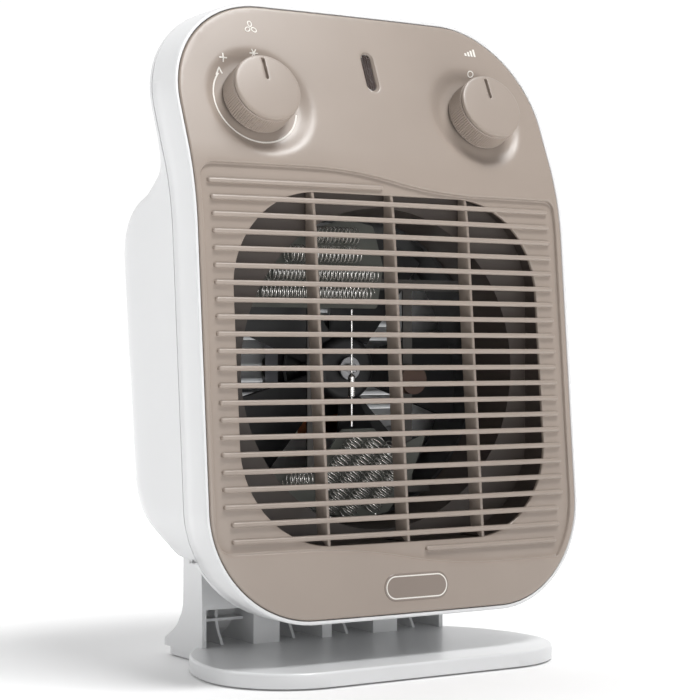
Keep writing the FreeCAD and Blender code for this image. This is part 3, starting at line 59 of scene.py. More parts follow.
KNOB_X, KNOB_Z = 69.5, 292.4
PITCH = 8.475
SLAT_LOW_Z = 71.9
SLAT_R = 1.3


def lean(z):
    """Angle of the face from upright at height z."""
    if z <= BEND_START[1]:
        return LOW
    if z >= BEND_END[1]:
        return HIGH
    return math.asin((z - BEND_CENTRE[1]) / BEND_R)


def face_y(z):
    """Depth of the face's side edge at height z."""
    if z <= BEND_START[1]:
        return FACE_Y + math.tan(LOW) * (z - FACE_Z)
    if z >= BEND_END[1]:
        return BEND_END[0] + math.tan(HIGH) * (z - BEND_END[1])
    return BEND_CENTRE[0] - math.sqrt(BEND_R ** 2 - (z - BEND_CENTRE[1]) ** 2)


def bow(x):
    return math.sqrt(BOW_R ** 2 - x ** 2) - math.sqrt(BOW_R ** 2 - HALF_W ** 2)


def skin(x, z, depth=0.0):
    """Point at a depth behind the leaning, bowed face."""
    angle = lean(z)
    tilt = angle - LOW
    stretch = math.cos(tilt) + math.tan(angle) * math.sin(tilt)
    return Vector((x, face_y(z) + (depth - bow(x)) * stretch + SHIFT, z))


# ---------------------------------------------------------------- materials

def node_material(name):
    material = bpy.data.materials.new(name)
    material.use_nodes = True
    tree = material.node_tree
    shader = tree.nodes["Principled BSDF"]
    return material, tree, shader


def noise(tree, scale, detail=3.0, roughness=0.5):
    coordinates = tree.nodes.new("ShaderNodeTexCoord")
    texture = tree.nodes.new("ShaderNodeTexNoise")
    texture.inputs["Scale"].default_value = scale
    texture.inputs["Detail"].default_value = detail
    texture.inputs["Roughness"].default_value = roughness
    tree.links.new(coordinates.outputs["Object"], texture.inputs["Vector"])
    return texture


def ramp(tree, source, low, high, start=0.3, end=0.7):
    """Colour or value ramp between two tones."""
    node = tree.nodes.new("ShaderNodeValToRGB")
    node.color_ramp.elements[0].position = start
    node.color_ramp.elements[1].position = end
    node.color_ramp.elements[0].color = (*low, 1.0)
    node.color_ramp.elements[1].color = (*high, 1.0)
    tree.links.new(source, node.inputs["Fac"])
    return node


def spread(tree, source, low, high):
    node = tree.nodes.new("ShaderNodeMapRange")
    node.inputs["To Min"].default_value = low
    node.inputs["To Max"].default_value = high
    tree.links.new(source, node.inputs["Value"])
    return node


def grainy(name, colour, rough, grain=900.0, depth=0.02, vary=0.04, metallic=0.0, rough_vary=0.06,
           coat=0.0, coat_rough=0.2, worn=0.0):
    """Material with slow tone drift, uneven gloss, fine surface grain and paler handled edges."""
    material, tree, shader = node_material(name)
    slow = noise(tree, 14.0, 4.0)
    low = tuple(max(0.0, c * (1 - vary)) for c in colour)
    high = tuple(min(1.0, c * (1 + vary)) for c in colour)
    tone = ramp(tree, slow.outputs["Fac"], low, high)
    colour_out = tone.outputs["Color"]
    if worn > 0:
        geometry = tree.nodes.new("ShaderNodeNewGeometry")
        edge = ramp(tree, geometry.outputs["Pointiness"], (0, 0, 0), (1, 1, 1), 0.52, 0.62)
        scatter = noise(tree, 160.0, 5.0)
        patch = ramp(tree, scatter.outputs["Fac"], (0, 0, 0), (1, 1, 1), 0.45, 0.7)
        product = tree.nodes.new("ShaderNodeMath")
        product.operation = "MULTIPLY"
        tree.links.new(edge.outputs["Color"], product.inputs[0])
        tree.links.new(patch.outputs["Color"], product.inputs[1])
        amount = tree.nodes.new("ShaderNodeMath")
        amount.operation = "MULTIPLY"
        amount.inputs[1].default_value = worn
        tree.links.new(product.outputs[0], amount.inputs[0])
        mix = tree.nodes.new("ShaderNodeMix")
        mix.data_type = "RGBA"
        tree.links.new(amount.outputs[0], mix.inputs["Factor"])
        tree.links.new(colour_out, mix.inputs["A"])
        mix.inputs["B"].default_value = (*[min(1.0, c * 1.5 + 0.05) for c in colour], 1.0)
        colour_out = mix.outputs["Result"]
    tree.links.new(colour_out, shader.inputs["Base Color"])
    medium = noise(tree, 60.0, 5.0)
    gloss = spread(tree, medium.outputs["Fac"], rough - rough_vary, rough + rough_vary)
    tree.links.new(gloss.outputs["Result"], shader.inputs["Roughness"])
    fine = noise(tree, grain, 2.0)
    bump = tree.nodes.new("ShaderNodeBump")
    bump.inputs["Strength"].default_value = 0.5
    bump.inputs["Distance"].default_value = depth * MM
    tree.links.new(fine.outputs["Fac"], bump.inputs["Height"])
    tree.links.new(bump.outputs["Normal"], shader.inputs["Normal"])
    shader.inputs["Metallic"].default_value = metallic
    shader.inputs["Coat Weight"].default_value = coat
    shader.inputs["Coat Roughness"].default_value = coat_rough
    return material


def glassy(name, colour, rough, transmission):
    material, tree, shader = node_material(name)
    drift = noise(tree, 40.0, 3.0)
    low = tuple(c * 0.8 for c in colour)
    tone = ramp(tree, drift.outputs["Fac"], low, colour)
    tree.links.new(tone.outputs["Color"], shader.inputs["Base Color"])
    haze = spread(tree, drift.outputs["Fac"], rough * 0.6, rough * 1.4)
    tree.links.new(haze.outputs["Result"], shader.inputs["Roughness"])
    shader.inputs["Transmission Weight"].default_value = transmission
    shader.inputs["IOR"].default_value = 1.49
    return material


TAUPE = (0.335, 0.280, 0.240)
MATERIALS = {
    "taupe_plastic": grainy("taupe_moulding", TAUPE, 0.36, grain=1400, depth=0.012, coat=0.12,
                            coat_rough=0.22, worn=0.10),
    "knob_plastic": grainy("knob_moulding", (0.340, 0.285, 0.245), 0.38, grain=1200, depth=0.015,
                           coat=0.1, worn=0.2),
    "badge_plastic": grainy("badge_moulding", (0.250, 0.205, 0.175), 0.3, coat=0.15),
    "print_ink": grainy("pale_ink", (0.80, 0.77, 0.72), 0.5, grain=2500, depth=0.01, vary=0.08),
    "white_plastic": grainy("white_moulding", (0.74, 0.745, 0.75), 0.32, grain=1500, depth=0.012,
                            vary=0.015, coat=0.2, coat_rough=0.2),
    "grey_plastic": grainy("bush_plastic", (0.25, 0.25, 0.25), 0.5),
    "foot_rubber": grainy("foot_rubber", (0.06, 0.06, 0.06), 0.8, grain=500, depth=0.05),
    "zinc_steel": grainy("zinc_plate", (0.62, 0.61, 0.58), 0.35, metallic=1.0, vary=0.12),
    "duct_plastic": grainy("duct_moulding", (0.075, 0.060, 0.052), 0.45, grain=700, depth=0.03,
                           vary=0.15),
    "sheet_steel": grainy("heat_darkened_sheet", (0.10, 0.095, 0.09), 0.5, metallic=1.0, vary=0.25),
    "mica": grainy("mica_board", (0.11, 0.115, 0.10), 0.55, grain=300, depth=0.06, vary=0.25),
    "resistance_wire": grainy("resistance_wire", (0.90, 0.89, 0.86), 0.25, metallic=0.85, vary=0.1),
    "cutout_phenolic": grainy("phenolic", (0.09, 0.05, 0.035), 0.45, vary=0.2),
    "fuse_metal": grainy("fuse_case", (0.75, 0.74, 0.72), 0.25, metallic=1.0, vary=0.1),
    "black_plastic": grainy("black_moulding", (0.022, 0.022, 0.022), 0.5, grain=800, depth=0.03),
    "fan_plastic": grainy("fan_moulding", (0.018, 0.018, 0.019), 0.42, grain=800, depth=0.02,
                          worn=0.3),
    "spring_steel": grainy("spring_steel", (0.45, 0.45, 0.46), 0.3, metallic=1.0),
    "bright_steel": grainy("ground_steel", (0.72, 0.72, 0.72), 0.18, metallic=1.0, vary=0.05),
    "rotor_metal": grainy("rotor_metal", (0.55, 0.55, 0.56), 0.4, metallic=1.0, vary=0.1),
    "sintered_bronze": grainy("sintered_bronze", (0.50, 0.36, 0.20), 0.45, metallic=1.0, vary=0.15),
    "lamination_steel": grainy("laminations", (0.25, 0.25, 0.27), 0.5, metallic=1.0, vary=0.2),
    "bobbin_plastic": grainy("bobbin_nylon", (0.72, 0.68, 0.58), 0.5),
    "copper_wire": grainy("enamelled_copper", (0.60, 0.22, 0.09), 0.3, metallic=1.0, vary=0.15),
    "spindle_plastic": grainy("spindle_acetal", (0.75, 0.72, 0.65), 0.4),
    "cam_plastic": grainy("cam_plastic", (0.60, 0.20, 0.08), 0.45),
    "switch_plastic": grainy("switch_case", (0.04, 0.04, 0.04), 0.5),
    "tinned_brass": grainy("tinned_brass", (0.70, 0.64, 0.48), 0.3, metallic=1.0, vary=0.1),
    "ceramic": grainy("ceramic_body", (0.80, 0.78, 0.73), 0.35, grain=500, depth=0.03, coat=0.3),
    "bimetal": grainy("bimetal_strip", (0.55, 0.50, 0.42), 0.35, metallic=1.0, vary=0.15),
    "lens_smoke": glassy("smoked_window", (0.055, 0.035, 0.030), 0.12, 0.25),
    "lamp_glass": glassy("lamp_bulb", (0.90, 0.55, 0.40), 0.05, 0.9),
    "lamp_rubber": grainy("lamp_sleeve", (0.70, 0.70, 0.68), 0.7),
}

# ---------------------------------------------------------------- mesh helpers

def make_piece(name, points, faces, slot, body, replaces=(), sharp=35.0):
    """Mesh piece from millimetre points, on its body, in its material."""
    mesh = bpy.data.meshes.new(name)
    mesh.from_pydata([Vector(p) * MM for p in points], [], faces)
    mesh.validate()
    cleaner = bmesh.new()
    cleaner.from_mesh(mesh)
    bmesh.ops.remove_doubles(cleaner, verts=cleaner.verts, dist=1e-5)
    bmesh.ops.dissolve_degenerate(cleaner, dist=3e-5, edges=cleaner.edges)
    bmesh.ops.recalc_face_normals(cleaner, faces=cleaner.faces)
    cleaner.to_mesh(mesh)
    cleaner.free()
    mesh.shade_smooth()
    mesh.set_sharp_from_angle(angle=math.radians(sharp))
    piece = bpy.data.objects.new(name, mesh)
    bpy.context.scene.collection.objects.link(piece)
    piece.data.materials.append(MATERIALS[slot])
    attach(piece, body)
    for node in replaces:
        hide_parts(node)
    return piece


def arc(cx, cz, radius, a0, a1, step=1.2):
    count = max(2, int(abs(math.radians(a1 - a0)) * radius / step))
    points = []
    for index in range(count + 1):
        angle = math.radians(a0 + (a1 - a0) * index / count)
        points.append((cx + radius * math.cos(angle), cz + radius * math.sin(angle)))
    return points


def line(x0, z0, x1, z1, step=2.0):
    count = max(1, int(math.hypot(x1 - x0, z1 - z0) / step))
    return [(x0 + (x1 - x0) * i / count, z0 + (z1 - z0) * i / count) for i in range(count + 1)]


def joined(parts):
    """One closed loop without repeated points."""
    loop = []
    for point in [p for part in parts for p in part]:
        if not loop or math.dist(loop[-1], point) > 0.02:
            loop.append(point)
    if math.dist(loop[0], loop[-1]) <= 0.02:
        loop.pop()
    return loop


def rounded_rect(x0, z0, x1, z1, radius, step=1.6):
    """Anticlockwise outline."""
    return joined([
        arc(x0 + radius, z0 + radius, radius, 180, 270, step), line(x0 + radius, z0, x1 - radius, z0),
        arc(x1 - radius, z0 + radius, radius, 270, 360, step), line(x1, z0 + radius, x1, z1 - radius),
        arc(x1 - radius, z1 - radius, radius, 0, 90, step), line(x1 - radius, z1, x0 + radius, z1),
        arc(x0 + radius, z1 - radius, radius, 90, 180, step), line(x0, z1 - radius, x0, z0 + radius)])


def wave(x0, z0, x1, z1):
    """Two equal arcs that leave and arrive level."""
    run, rise = abs(x1 - x0) / 2, abs(z1 - z0) / 2
    radius = (run ** 2 + rise ** 2) / (2 * rise)
    half = math.degrees(math.asin(run / radius))
    points = []
    forward = 1 if x1 > x0 else -1
    up = 1 if z1 > z0 else -1
    count = 36
    for index in range(count + 1):
        angle = math.radians(half * index / count)
        points.append((x0 + forward * radius * math.sin(angle),
                       z0 + up * radius * (1 - math.cos(angle))))
    for index in range(count, -1, -1):
        angle = math.radians(half * index / count)
        points.append((x1 - forward * radius * math.sin(angle),
                       z1 - up * radius * (1 - math.cos(angle))))
    return points


def recess_loop():
    """Border of the grille field, anticlockwise from the lower left corner."""
    left, right = -109.2, 108.6
    top_left, top_right = 259.0, 247.8
    low_left, low_right = 66.0, 54.6
    big, small = 9.0, 5.0
    sweep = CORNER_R - 3.5
    cx, cz = HALF_W - CORNER_R, PANEL_LOW + CORNER_R
    drop = math.degrees(math.asin((low_right - cz) / sweep))
    low_x = cx + sweep * math.cos(math.radians(drop))
    return joined([
        arc(left + big, low_left + big, big, 180, 270), line(left + big, low_left, -62, low_left),
        wave(-62, low_left, 56, low_right), line(56, low_right, low_x, low_right),
        arc(cx, cz, sweep, drop, 0), line(right, cz, right, top_right - small),
        arc(right - small, top_right - small, small, 0, 90),
        line(right - small, top_right, 55, top_right),
        wave(55, top_right, -48, top_left), line(-48, top_left, left + big, top_left),
        arc(left + big, top_left - big, big, 90, 180), line(left, top_left - big, left, low_left + big)])


def panel_loop(grow=0.0):
    return rounded_rect(-HALF_W - grow, PANEL_LOW - grow, HALF_W + grow, PANEL_HIGH + grow,
                        CORNER_R + grow)


def opening_loop(grow=0.0):
    return rounded_rect(-93.5 - grow, 67.5 - grow, 93.5 + grow, 246.0 + grow, 50.0 + grow)


def normals(loop):
    """Unit vectors that point out of an anticlockwise loop."""
    found = []
    count = len(loop)
    for index in range(count):
        ax, az = loop[index - 1]
        bx, bz = loop[(index + 1) % count]
        length = math.hypot(bx - ax, bz - az)
        found.append(((bz - az) / length, -(bx - ax) / length))
    return found


def moved(loop, distance):
    return [(x + nx * distance, z + nz * distance) for (x, z), (nx, nz) in zip(loop, normals(loop))]


def inside(points, loops):
    """Even-odd test of many points against several closed loops."""
    points = np.asarray(points, float)
    result = np.zeros(len(points), bool)
    for loop in loops:
        ring = np.asarray(loop, float)
        nxt = np.roll(ring, -1, axis=0)
        for (ax, az), (bx, bz) in zip(ring, nxt):
            if az == bz:
                continue
            crosses = (points[:, 1] < az) != (points[:, 1] < bz)
            x_cross = ax + (points[:, 1] - az) * (bx - ax) / (bz - az)
            result ^= crosses & (points[:, 0] < x_cross)
    return result


def fill(loops, spacing, extra=()):
    """Triangles between closed outlines, with inner points close enough for the sheet to curve."""
    points, edges = [], []
    for loop in loops:
        first = len(points)
        points += loop
        edges += [(first + i, first + (i + 1) % len(loop)) for i in range(len(loop))]
    border = np.asarray(points, float)
    low, high = border.min(0), border.max(0)
    xs = np.arange(low[0] + spacing / 2, high[0], spacing)
    zs = np.arange(low[1] + spacing / 2, high[1], spacing * 0.866)
    grid = np.array([(x + (spacing / 2 if row % 2 else 0), z) for row, z in enumerate(zs) for x in xs])
    if len(extra):
        grid = np.vstack([grid, np.asarray(extra, float)])
    grid = grid[inside(grid, loops)]
    near = np.array([np.min(np.sum((border - p) ** 2, axis=1)) for p in grid])
    grid = grid[near > (spacing * 0.45) ** 2]
    points += [tuple(p) for p in grid]
    found = delaunay_2d_cdt([Vector(p) for p in points], edges, [], 0, 1e-5, False)
    flat = [(v.x, v.y) for v in found[0]]
    triangles = found[2]
    centres = np.array([np.mean([flat[i] for i in t], axis=0) for t in triangles])
    keep = inside(centres, loops)
    return flat, [t for t, k in zip(triangles, keep) if k]


class Builder:
    """Collects points and faces of one mesh."""

    def __init__(self):
        self.points = []
        self.faces = []

    def sheet(self, loops, spacing, place, extra=()):
        flat, triangles = fill(loops, spacing, extra)
        first = len(self.points)
        self.points += [place(x, z) for x, z in flat]
        self.faces += [tuple(first + i for i in t) for t in triangles]

    def band(self, loop, profile, place):
        """Strip along a loop; profile is (distance outwards, depth)."""
        out = normals(loop)
        count = len(loop)
        first = len(self.points)
        for offset, depth in profile:
            for (x, z), (nx, nz) in zip(loop, out):
                self.points.append(place(x + nx * offset, z + nz * offset, depth))
        for row in range(len(profile) - 1):
            for index in range(count):
                a = first + row * count + index
                b = first + row * count + (index + 1) % count
                self.faces.append((a, b, b + count, a + count))

    def tube(self, rings, closed_ends=True):
        """Quads between equal rings of points."""
        first = len(self.points)
        count = len(rings[0])
        for ring in rings:
            self.points += ring
        for row in range(len(rings) - 1):
            for index in range(count):
                a = first + row * count + index
                b = first + row * count + (index + 1) % count
                self.faces.append((a, b, b + count, a + count))
        if closed_ends:
            self.faces.append(tuple(first + i for i in range(count))[::-1])
            last = first + (len(rings) - 1) * count
            self.faces.append(tuple(last + i for i in range(count)))


def fillet(x0, d0, x1, d1, steps=4):
    """Quarter-round from (x0, d0), leaving along x, to (x1, d1), arriving along depth."""
    points = []
    for index in range(steps + 1):
        angle = math.pi / 2 * index / steps
        points.append((x0 + (x1 - x0) * math.sin(angle), d0 + (d1 - d0) * (1 - math.cos(angle))))
    return points


def fillet_in(x0, d0, x1, d1, steps=4):
    """Quarter-round from (x0, d0), leaving along depth, to (x1, d1), arriving along x."""
    points = []
    for index in range(steps + 1):
        angle = math.pi / 2 * index / steps
        points.append((x0 + (x1 - x0) * (1 - math.cos(angle)), d0 + (d1 - d0) * math.sin(angle)))
    return points


# ---------------------------------------------------------------- front panel

FOOT_Y = face_y(KNOB_Z)
DISH_FLAT, DISH_EDGE, DISH_SLOPE = 24.5, 33.5, 0.4667


def smooth_max(value, width):
    """Zero below nothing, value above it, with a rounded change."""
    return 0.5 * (value + math.sqrt(value * value + width * width))


def dish_depth(x, z):
    """How far the knob dish cuts below the bowed face."""
    side = -1 if x < 0 else 1
    dx = x - side * KNOB_X
    dz = (z - KNOB_Z) / math.cos(HIGH)
    radius = math.hypot(dx, dz)
    if radius > DISH_EDGE + 3:
        return 0.0
    rise = smooth_max((radius - DISH_FLAT) * DISH_SLOPE, 0.35) - 0.1
    cut = bow(x) * 0.97 - rise
    edge = max(0.0, min(1.0, (DISH_EDGE + 3 - radius) / 3))
    return smooth_max(cut, 0.3) * edge


def on_face(x, z, depth=0.0):
    return skin(x, z, depth + (dish_depth(x, z) if z > 250 else 0.0))


def lens_loop(step):
    return rounded_rect(-0.9, 302.6, 6.9, 324.4, 3.89, step)


def build_panel():
    """Panel with the knob dishes, lamp hole, grille recess and opening, its bars and its ribs."""
    maker = Builder()
    outer = panel_loop()
    recess = recess_loop()
    opening = opening_loop()
    lens = lens_loop(0.7)
    knob_holes = []
    for side in (-1, 1):
        knob_holes.append(arc(side * KNOB_X, KNOB_Z, 5.0, 0, 350, 1.0))
    border = 0.9
    maker.sheet([moved(outer, -border), moved(recess, border), moved(lens, 0.7), *knob_holes], 2.2,
                on_face)
    maker.band(outer, fillet(-border, 0.0, 0.0, border) + [(0.0, 4.0), (-2.0, 4.0)], on_face)
    maker.band(lens, fillet(0.7, 0.0, 0.0, 0.5) + [(-0.2, 0.7), (-0.7, 1.1), (-0.8, 3.6)], on_face)
    fall = fillet(0.9, 0.0, 0.0, 0.9) + fillet_in(-0.1, 1.3, -1.0, 2.2)
    maker.band(recess, fall, skin)
    maker.sheet([moved(recess, -1.0), moved(opening, 0.7)], 3.0, lambda x, z: skin(x, z, 2.2))
    maker.band(opening, fillet(0.7, 2.2, 0.0, 2.9) + [(0.0, 4.0), (1.5, 4.0)], skin)
    maker.sheet([moved(outer, -2.0), moved(opening, 1.5)], 6.0, lambda x, z: skin(x, z, 4.0))
    add_bars(maker)
    add_ribs(maker)
    return make_piece("panel_and_grille", maker.points, maker.faces, "taupe_plastic", "housing",
                      ["front_panel"], sharp=50.0)


def bar_spans():
    spans = [(10.8, 97.6, SLAT_LOW_Z - PITCH)]
    for index in range(21):
        half = 100.5 if index < 2 else 104.3
        spans.append((-half, half, SLAT_LOW_Z + index * PITCH))
    spans.append((-105.0, -4.2, SLAT_LOW_Z + 21 * PITCH))
    return spans


def add_bars(maker):
    """Grille bars with half-round fronts and round ends, following the bow."""
    steps = [(0.25, 0.02), (0.75, 0.16), (1.1, 0.48), (1.27, 0.85), (1.3, 1.3), (1.3, 3.4)]
    for x0, x1, z in bar_spans():
        count = max(8, int((x1 - x0) / 5))
        rings = []
        for radius, depth in steps:
            ring = []
            left, right = x0 + SLAT_R, x1 - SLAT_R
            for index in range(count + 1):
                ring.append((left + (right - left) * index / count, z - radius))
            ring += arc(right, z, radius, -90, 90, radius * math.pi / 8.01)[1:-1]
            for index in range(count, -1, -1):
                ring.append((left + (right - left) * index / count, z + radius))
            ring += arc(left, z, radius, 90, 270, radius * math.pi / 8.01)[1:-1]
            rings.append([skin(px, pz, depth + 0.3) for px, pz in ring])
        first = len(maker.points)
        maker.tube(rings, closed_ends=False)
        size = len(rings[0])
        ends = (size - 2 * (count + 1)) // 2
        for index in range(count):
            a, b = first + index, first + index + 1
            far = first + 2 * (count + 1) + ends - 1 - index
            maker.faces.append((a, b, far - 1, far))
        right_cap = [first + count + i for i in range(ends + 2)]
        left_cap = [first + 2 * (count + 1) + ends - 1 + i for i in range(ends + 1)] + [first]
        maker.faces.append(tuple(right_cap))
        maker.faces.append(tuple(left_cap))


def add_ribs(maker):
    """Upright ribs behind the bars."""
    rear_limit = -29.9
    for index in range(3):
        x = -46.0 + index * 47.5
        front = 2.8 - bow(x)
        rings = []
        count = 30
        for step in range(count + 1):
            z = 60.0 + 192.0 * step / count
            near = face_y(z) + front
            far = max(near + 0.5, min(face_y(z) + 9.5, rear_limit))
            if z < 67:
                far = near + 0.5
            w = 0.9
            section = [(x - w, near + 0.4), (x - w + 0.4, near), (x + w - 0.4, near),
                       (x + w, near + 0.4), (x + w, far), (x - w, far)]
            rings.append([Vector((px, py + SHIFT, z)) for px, py in section])
        maker.tube(rings)


# ---------------------------------------------------------------- ring, badge, marks, knobs

def build_ring():
    """White front ring round the panel."""
    maker = Builder()
    loop = panel_loop(0.4)
    profile = [(0.0, 24.0), (0.0, 1.0)] + fillet_in(0.0, 1.0, 0.6, 0.3, 3)[1:]
    profile += fillet(1.0, 0.3, 2.0, 1.5, 4) + [(2.0, 12.0), (2.0, 23.6), (1.7, 24.0), (0.0, 24.0)]
    maker.band(loop, profile, skin)
    return make_piece("white_ring", maker.points, maker.faces, "white_plastic", "housing",
                      ["front_ring"], sharp=40.0)


def build_lens():
    """Smoked lamp window with upright ridges on its face."""
    maker = Builder()
    loop = moved(lens_loop(0.5), -0.9)

    def ridged(x, z, depth=1.5):
        return on_face(x, z, depth + 0.22 * math.cos(2 * math.pi * (x - 3.0) / 1.5))

    maker.sheet([loop], 0.45, ridged)
    maker.band(loop, [(0.0, 1.5), (0.0, 9.0)], lambda x, z, d: ridged(x, z, d))
    return make_piece("lamp_window", maker.points, maker.faces, "lens_smoke", "housing",
                      ["indicator_lens"], sharp=60.0)


COVER, SHELL_GROW, SHELL_R, WALL = 32.0, 2.4, 30.0, 2.4
SHELL_TOP, SHELL_BASE = PANEL_HIGH + SHELL_GROW, PANEL_LOW - SHELL_GROW
CORD_SPOT = (58.0, 115.0)
SCREW_SPOTS = [(-84.0, 52.0), (84.0, 52.0), (-92.0, 320.0), (92.0, 320.0)]
WELL_R, CORD_HOLE_R = 3.3, 6.0
END_R = 6.0
PARTING_DEPTH = 24.3


def rear_wall_y(z):
    return 52.2 + 0.09 * (z - 62.0)


def softened(points, radii, step=2.0):
    """Open path of straight lines with its corners rounded."""
    path = [points[0]]
    for before, corner, after, radius in zip(points, points[1:], points[2:], radii):
        a = (Vector(before) - Vector(corner)).normalized()
        b = (Vector(after) - Vector(corner)).normalized()
        half = a.angle(b) / 2
        reach = radius / math.tan(half)
        start, end = Vector(corner) + a * reach, Vector(corner) + b * reach
        count = max(3, int(radius * (math.pi - 2 * half) / step))
        for index in range(count + 1):
            t = index / count
            weight = (1 - t) ** 2, 2 * t * (1 - t), t ** 2
            path.append(tuple(start * weight[0] + Vector(corner) * weight[1] + end * weight[2]))
    path.append(points[-1])
    dense = [line(*a, *b, step=4.0)[:-1] for a, b in zip(path, path[1:])]
    return [p for part in dense for p in part] + [path[-1]]


def shell_half_width(z):
    low, high = PANEL_LOW + CORNER_R, PANEL_HIGH - CORNER_R
    radius = CORNER_R + SHELL_GROW
    away = max(low - z, z - high, 0.0)
    return HALF_W - CORNER_R + math.sqrt(max(0.0, radius ** 2 - min(away, radius) ** 2))


def shell_sections():
    """Open outlines of the shell, side edge to side edge, from its bottom to its top."""
    low, high = SHELL_BASE, SHELL_TOP
    cover = [(face_y(z) + COVER, z) for z in (low, 62.0, 259.0, high)]
    path = softened([cover[0], cover[1], (13.6, 62.0), (50.5, 85.0), (rear_wall_y(235.0), 235.0),
                     cover[2], cover[3]], [10.0, 26.0, 38.0, 30.0, 18.0])
    sections = []
    for y, z in path:
        near_end = min(z - low, high - z)
        if near_end < END_R:
            y -= END_R - math.sqrt(END_R ** 2 - (END_R - near_end) ** 2)
        half = shell_half_width(z)
        edge = skin(half, z, PARTING_DEPTH).y
        proud = y + SHIFT - edge
        radius = min(SHELL_R, proud * 0.8, 4.0 + 0.55 * proud)
        side = []
        for step in range(4):
            side.append((half, edge + (proud - radius) * step / 4))
        for step in range(11):
            angle = math.pi / 2 * step / 10
            side.append((half - radius * (1 - math.cos(angle)),
                         edge + proud - radius * (1 - math.sin(angle))))
        inner = half - radius
        across = [(inner - 2 * inner * step / 24, edge + proud) for step in range(1, 24)]
        mirror = [(-px, py) for px, py in reversed(side)]
        sections.append([Vector((px, py, z)) for px, py in side + across + mirror])
    return sections


def box_points(maker, centre, half, shear=0.0):
    """Closed box; shear raises it towards the inside of the shell."""
    first = len(maker.points)
    for dy in (-1, 1):
        for dx, dz in ((-1, -1), (1, -1), (1, 1), (-1, 1)):
            maker.points.append(Vector((centre[0] + dx * half[0], centre[1] + dy * half[1],
                                        centre[2] + dz * half[2] - dy * shear)))
    for face in ((0, 1, 2, 3), (7, 6, 5, 4), (0, 4, 5, 1), (1, 5, 6, 2), (2, 6, 7, 3), (3, 7, 4, 0)):
        maker.faces.append(tuple(first + i for i in face))


def build_shell_cutter():
    """Slanted air slots, screw wells and the cord hole, as solids to take out of the shell."""
    maker = Builder()
    for row in range(11):
        z = 130.0 + row * 8.0
        for x in (-45.0, 0.0, 45.0):
            box_points(maker, (x, rear_wall_y(z) + SHIFT - 1.0, z), (21.0, 6.0, 1.25), 6.0)
    for x, z in SCREW_SPOTS:
        y = face_y(z) + COVER + SHIFT
        rim = arc(x, z, WELL_R, 0, 345, 0.9)
        maker.tube([[Vector((px, y + d, pz)) for px, pz in rim] for d in (-6, 6)])
    x, z = CORD_SPOT
    y = rear_wall_y(z) + SHIFT
    rim = arc(x, z, CORD_HOLE_R, 0, 350, 1.0)
    maker.tube([[Vector((px, y + d, pz)) for px, pz in rim] for d in (-8, 6)])
    mesh = bpy.data.meshes.new("cutter")
    mesh.from_pydata([p * MM for p in maker.points], [], maker.faces)
    cleaner = bmesh.new()
    cleaner.from_mesh(mesh)
    bmesh.ops.recalc_face_normals(cleaner, faces=cleaner.faces)
    cleaner.to_mesh(mesh)
    cleaner.free()
    cutter = bpy.data.objects.new("cutter", mesh)
    bpy.context.scene.collection.objects.link(cutter)
    return cutter


def build_shell():
    """White rear moulding: a thin cover all round that swells into the fan's box."""
    sections = shell_sections()
    width = len(sections[0])
    points = [p for row in sections for p in row]
    faces = []
    for row in range(len(sections) - 1):
        for index in range(width - 1):
            a = row * width + index
            faces.append((a, a + 1, a + 1 + width, a + width))
    for row, z in ((0, SHELL_BASE), (len(sections) - 1, SHELL_TOP)):
        edge = [row * width + i for i in range(width)]
        x0, x1 = points[edge[-1]].x, points[edge[0]].x
        first = len(points)
        points += [skin(x0 + (x1 - x0) * step / 12, z, PARTING_DEPTH) for step in range(1, 12)]
        faces.append(tuple(edge + [first + i for i in range(11)]))
    shell = bpy.data.meshes.new("rear_moulding_blank")
    shell.from_pydata([p * MM for p in points], [], faces)
    cleaner = bmesh.new()
    cleaner.from_mesh(shell)
    bmesh.ops.recalc_face_normals(cleaner, faces=cleaner.faces)
    cleaner.to_mesh(shell)
    cleaner.free()
    blank = bpy.data.objects.new("rear_moulding_blank", shell)
    bpy.context.scene.collection.objects.link(blank)
    walls = blank.modifiers.new("walls", "SOLIDIFY")
    walls.thickness = WALL * MM
    walls.offset = -1.0
    cutter = build_shell_cutter()
    slots = blank.modifiers.new("slots", "BOOLEAN")
    slots.operation = "DIFFERENCE"
    slots.solver = "EXACT"
    slots.object = cutter
    slots.use_self = True
    view = bpy.context.evaluated_depsgraph_get()
    view.update()
    made = blank.evaluated_get(view).to_mesh()
    points = [v.co / MM for v in made.vertices]
    faces = [tuple(p.vertices) for p in made.polygons]
    blank.evaluated_get(view).to_mesh_clear()
    bpy.data.objects.remove(blank)
    bpy.data.objects.remove(cutter)
    return make_piece("rear_moulding", points, faces, "white_plastic", "housing", ["rear_shell"],
                      sharp=40.0)


def build_badge():
    """Blank oval badge with a raised pale rim line."""
    cx, cz = 3.0, 44.9
    maker = Builder()
    loop = rounded_rect(cx - 19.8, cz - 7.0, cx + 19.8, cz + 7.0, 6.99, 0.8)
    field = moved(loop, -0.8)
    maker.sheet([field], 2.0, lambda x, z: skin(x, z, -0.35))
    maker.band(loop, [(-0.8, -0.35), (-0.3, -0.3), (0.0, 0.0), (0.0, 0.8)], skin)
    make_piece("badge_field", maker.points, maker.faces, "badge_plastic", "housing", ["badge_plate"])
    rim = Builder()
    rim.band(moved(loop, -1.4), [(-0.35, -0.3), (-0.3, -0.42), (0.3, -0.42), (0.35, -0.3)], skin)
    return make_piece("badge_rim_line", rim.points, rim.faces, "print_ink", "housing")


